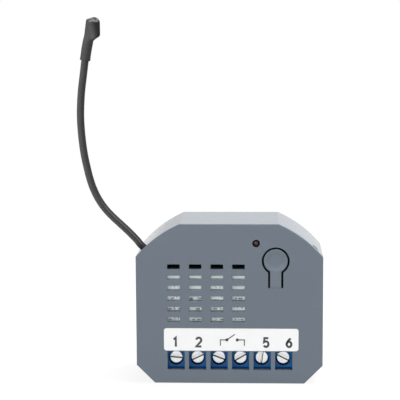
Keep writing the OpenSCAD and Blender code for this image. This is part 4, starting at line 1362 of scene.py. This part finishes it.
@dataclass
class Label:
    """White strip over the terminals, printed with plain numbers and an open contact."""

    front_y: float = -10.0 * MM
    ink_t: float = 0.012 * MM
    base_z: float = 8.69 * MM
    cap_h: float = 2.19 * MM
    digit_w: float = 1.35 * MM
    stroke: float = 0.52 * MM
    line: float = 0.25 * MM
    dot_r: float = 0.36 * MM
    dot_corners: int = 24
    fold: float = 0.1
    mitre: float = 0.5
    sign_x: Span = (-2.08 * MM, 3.48 * MM)
    sign_z: Span = (8.95 * MM, 10.35 * MM)
    sign_dots: Span = (-0.57 * MM, 1.83 * MM)
    sign_tip: Point2 = (1.28 * MM, 11.67 * MM)
    digits: Dict[str, float] = field(default_factory=lambda: {
        "1": -12.5 * MM, "2": -7.1 * MM, "5": 8.5 * MM, "6": 13.8 * MM})

    @staticmethod
    def arc(centre: Point2, rx: float, ry: float, start: float, end: float, steps: int = 16) -> List[Point2]:
        """Points on an oval from one angle to another, in degrees."""
        turns = [math.radians(start + (end - start) * i / steps) for i in range(steps + 1)]
        return [(centre[0] + rx * math.cos(t), centre[1] + ry * math.sin(t)) for t in turns]

    def strokes(self, digit: str) -> List[List[Point2]]:
        """Pen strokes of a number in a box one wide and one high.

        Args:
            digit: The number.

        Returns:
            Lists of points.
        """
        if digit == "1":
            return [[(0.18, 0.76), (0.55, 0.98), (0.55, 0.0)]]
        if digit == "2":
            return [self.arc((0.5, 0.71), 0.42, 0.27, 170, -38) + [(0.08, 0.03), (0.95, 0.03)]]
        if digit == "5":
            bowl = self.arc((0.48, 0.32), 0.42, 0.30, 128, -150)
            return [[(0.88, 0.96), (0.22, 0.96), (0.14, 0.52)] + bowl]
        return [self.arc((0.5, 0.31), 0.40, 0.29, 90, 450, 28),
                [(0.80, 0.94), (0.50, 0.80), (0.22, 0.55), (0.10, 0.31)]]

    def ribbon(self, points: Sequence[Point2], width: float) -> Tuple[List[Point2], List[Tuple[int, ...]]]:
        """A flat band along points, with mitred corners.

        Args:
            points: Middle of the band.
            width: Its width.

        Returns:
            Its corner points and faces.
        """
        corners: List[Point2] = []
        for index, (x, z) in enumerate(points):
            before = points[max(index - 1, 0)]
            after = points[min(index + 1, len(points) - 1)]
            d0 = Vector((x - before[0], z - before[1])) if index else Vector((after[0] - x, after[1] - z))
            d1 = Vector((after[0] - x, after[1] - z)) if index < len(points) - 1 else d0
            d0.normalize()
            d1.normalize()
            along = (d0 + d1).normalized() if (d0 + d1).length > self.fold else d1
            reach = 0.5 * width / max(self.mitre, along.dot(d1))
            side_x, side_z = -reach * along.y, reach * along.x
            corners += [(x + side_x, z + side_z), (x - side_x, z - side_z)]
        quads = [(2 * i, 2 * i + 1, 2 * i + 3, 2 * i + 2) for i in range(len(points) - 1)]
        return corners, quads

    def printed(self, name: str, bands: Sequence[Tuple[Sequence[Point2], float]],
                dots: Sequence[Point2] = ()) -> bpy.types.Object:
        """Prints bands and dots as one thin raised piece.

        Args:
            name: Name of the piece.
            bands: Points and width of each band, in metres.
            dots: Middles of round dots.

        Returns:
            The print.
        """
        work = bmesh.new()
        last = 360 - 360 / self.dot_corners
        for points, width in bands:
            corners, quads = self.ribbon(points, width)
            made = [work.verts.new((x, self.front_y, z)) for x, z in corners]
            for quad in quads:
                work.faces.new([made[i] for i in quad])
        for dot in dots:
            ring = self.arc(dot, self.dot_r, self.dot_r, 0, last, self.dot_corners - 1)
            work.faces.new([work.verts.new((x, self.front_y, z)) for x, z in ring])
        grown = bmesh.ops.extrude_face_region(work, geom=work.faces[:])
        lifted = [item for item in grown["geom"] if isinstance(item, bmesh.types.BMVert)]
        bmesh.ops.translate(work, verts=lifted, vec=(0.0, -self.ink_t, 0.0))
        bmesh.ops.recalc_face_normals(work, faces=work.faces[:])
        mesh = bpy.data.meshes.new(name)
        work.to_mesh(mesh)
        work.free()
        made_object = bpy.data.objects.new(name, mesh)
        bpy.context.scene.collection.objects.link(made_object)
        return show(made_object, Tone.PRINT.value, BODY)

    def contact_sign(self) -> None:
        """Prints the sign of an open contact over the two middle terminals."""
        left, right = self.sign_x
        low, bar = self.sign_z
        dots = [(x, bar) for x in self.sign_dots]
        paths = [
            [(left, low), (left, bar), dots[0]],
            [dots[1], (right, bar), (right, low)],
            [dots[0], self.sign_tip],
        ]
        self.printed("print_contact", [(path, self.line) for path in paths], dots)

    def build(self) -> None:
        """Finishes the strip and prints it."""
        Tone.LABEL_WHITE.value.dress(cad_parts["terminal_label"])
        for digit, middle in self.digits.items():
            bands = []
            for stroke in self.strokes(digit):
                points = [(middle + (u - 0.5) * self.digit_w, self.base_z + v * self.cap_h)
                          for u, v in stroke]
                bands.append((points, self.stroke))
            self.printed("print_number_" + digit, bands)
        self.contact_sign()


@dataclass
class Terminals:
    """Three blue blocks with their screws, wire cages and contact bars; slot_turns are in degrees."""

    blocks: int = 3
    slot_turns: Tuple[float, ...] = (-4, 26, -21, 31, 82, -27)
    edge: float = 0.05 * MM
    head_edge: float = 0.04 * MM

    def build(self) -> None:
        """Finishes the blocks and what they hold."""
        for number in range(1, self.blocks + 1):
            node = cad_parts[f"terminal_block_{number}"]
            Tone.TERMINAL_BLUE.value.dress(node)
            soften(node, self.edge, flats=False)
        for number, turn in enumerate(self.slot_turns, 1):
            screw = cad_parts[f"terminal_screw_{number}"]
            replace(Tone.SCREW_ZINC.value, name=f"screw_zinc_{number}", slot_turn=turn).dress(screw)
            soften(screw, self.head_edge)
            Tone.CAGE_ZINC.value.dress(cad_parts[f"wire_cage_{number}"])
            Tone.BAR_TIN.value.dress(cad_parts[f"contact_bar_{number}"])
        LOG.info("terminals: %d blocks, %d poles", self.blocks, len(self.slot_turns))


@dataclass
class Electronics:
    """Board, lamp, switch, relay, radio and power supply inside the housing."""

    tones: Dict[str, Tone] = field(default_factory=lambda: {
        "pcb": Tone.BOARD_GREEN, "radio_board": Tone.BOARD_GREEN, "status_led": Tone.LENS_RED,
        "led_leads": Tone.TINNED_LEAD, "switch_leads": Tone.TINNED_LEAD, "relay_pins": Tone.TINNED_LEAD,
        "switch_body": Tone.BLACK_PLASTIC, "switch_plunger": Tone.BLACK_PLASTIC,
        "relay_base": Tone.BLACK_PLASTIC, "power_chip": Tone.BLACK_PLASTIC,
        "bridge_rectifier": Tone.BLACK_PLASTIC, "small_chips": Tone.BLACK_PLASTIC,
        "relay_case": Tone.RELAY_PALE, "relay_bobbin": Tone.BOBBIN_PALE, "relay_coil": Tone.COIL_COPPER,
        "relay_yoke": Tone.SOFT_IRON, "relay_armature": Tone.SOFT_IRON,
        "relay_contact_spring": Tone.CONTACT_BRONZE, "relay_fixed_contact": Tone.CONTACT_BRONZE,
        "radio_shield": Tone.SHIELD_STEEL, "mains_capacitor": Tone.CAPACITOR_SLEEVE,
        "output_capacitor": Tone.CAPACITOR_SLEEVE, "choke_core": Tone.FERRITE,
        "choke_winding": Tone.CHOKE_COPPER, "film_capacitor": Tone.FILM_AMBER,
        "varistor": Tone.VARISTOR_BLUE, "fuse_resistor": Tone.RESISTOR_GREEN})

    def build(self) -> None:
        """Finishes each inner node."""
        for name, tone in self.tones.items():
            tone.value.dress(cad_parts[name])
        LOG.info("electronics: %d nodes finished", len(self.tones))


def main() -> None:
    """Builds the picture and the dressed module, piece by piece."""
    logging.basicConfig(level=logging.INFO, format="%(name)s: %(message)s")
    studio = Studio()
    studio.camera()
    Antenna().build()
    for assembly in (Housing(), Label(), Terminals(), Electronics()):
        assembly.build()
    studio.build()


if __name__ == "__main__":
    main()
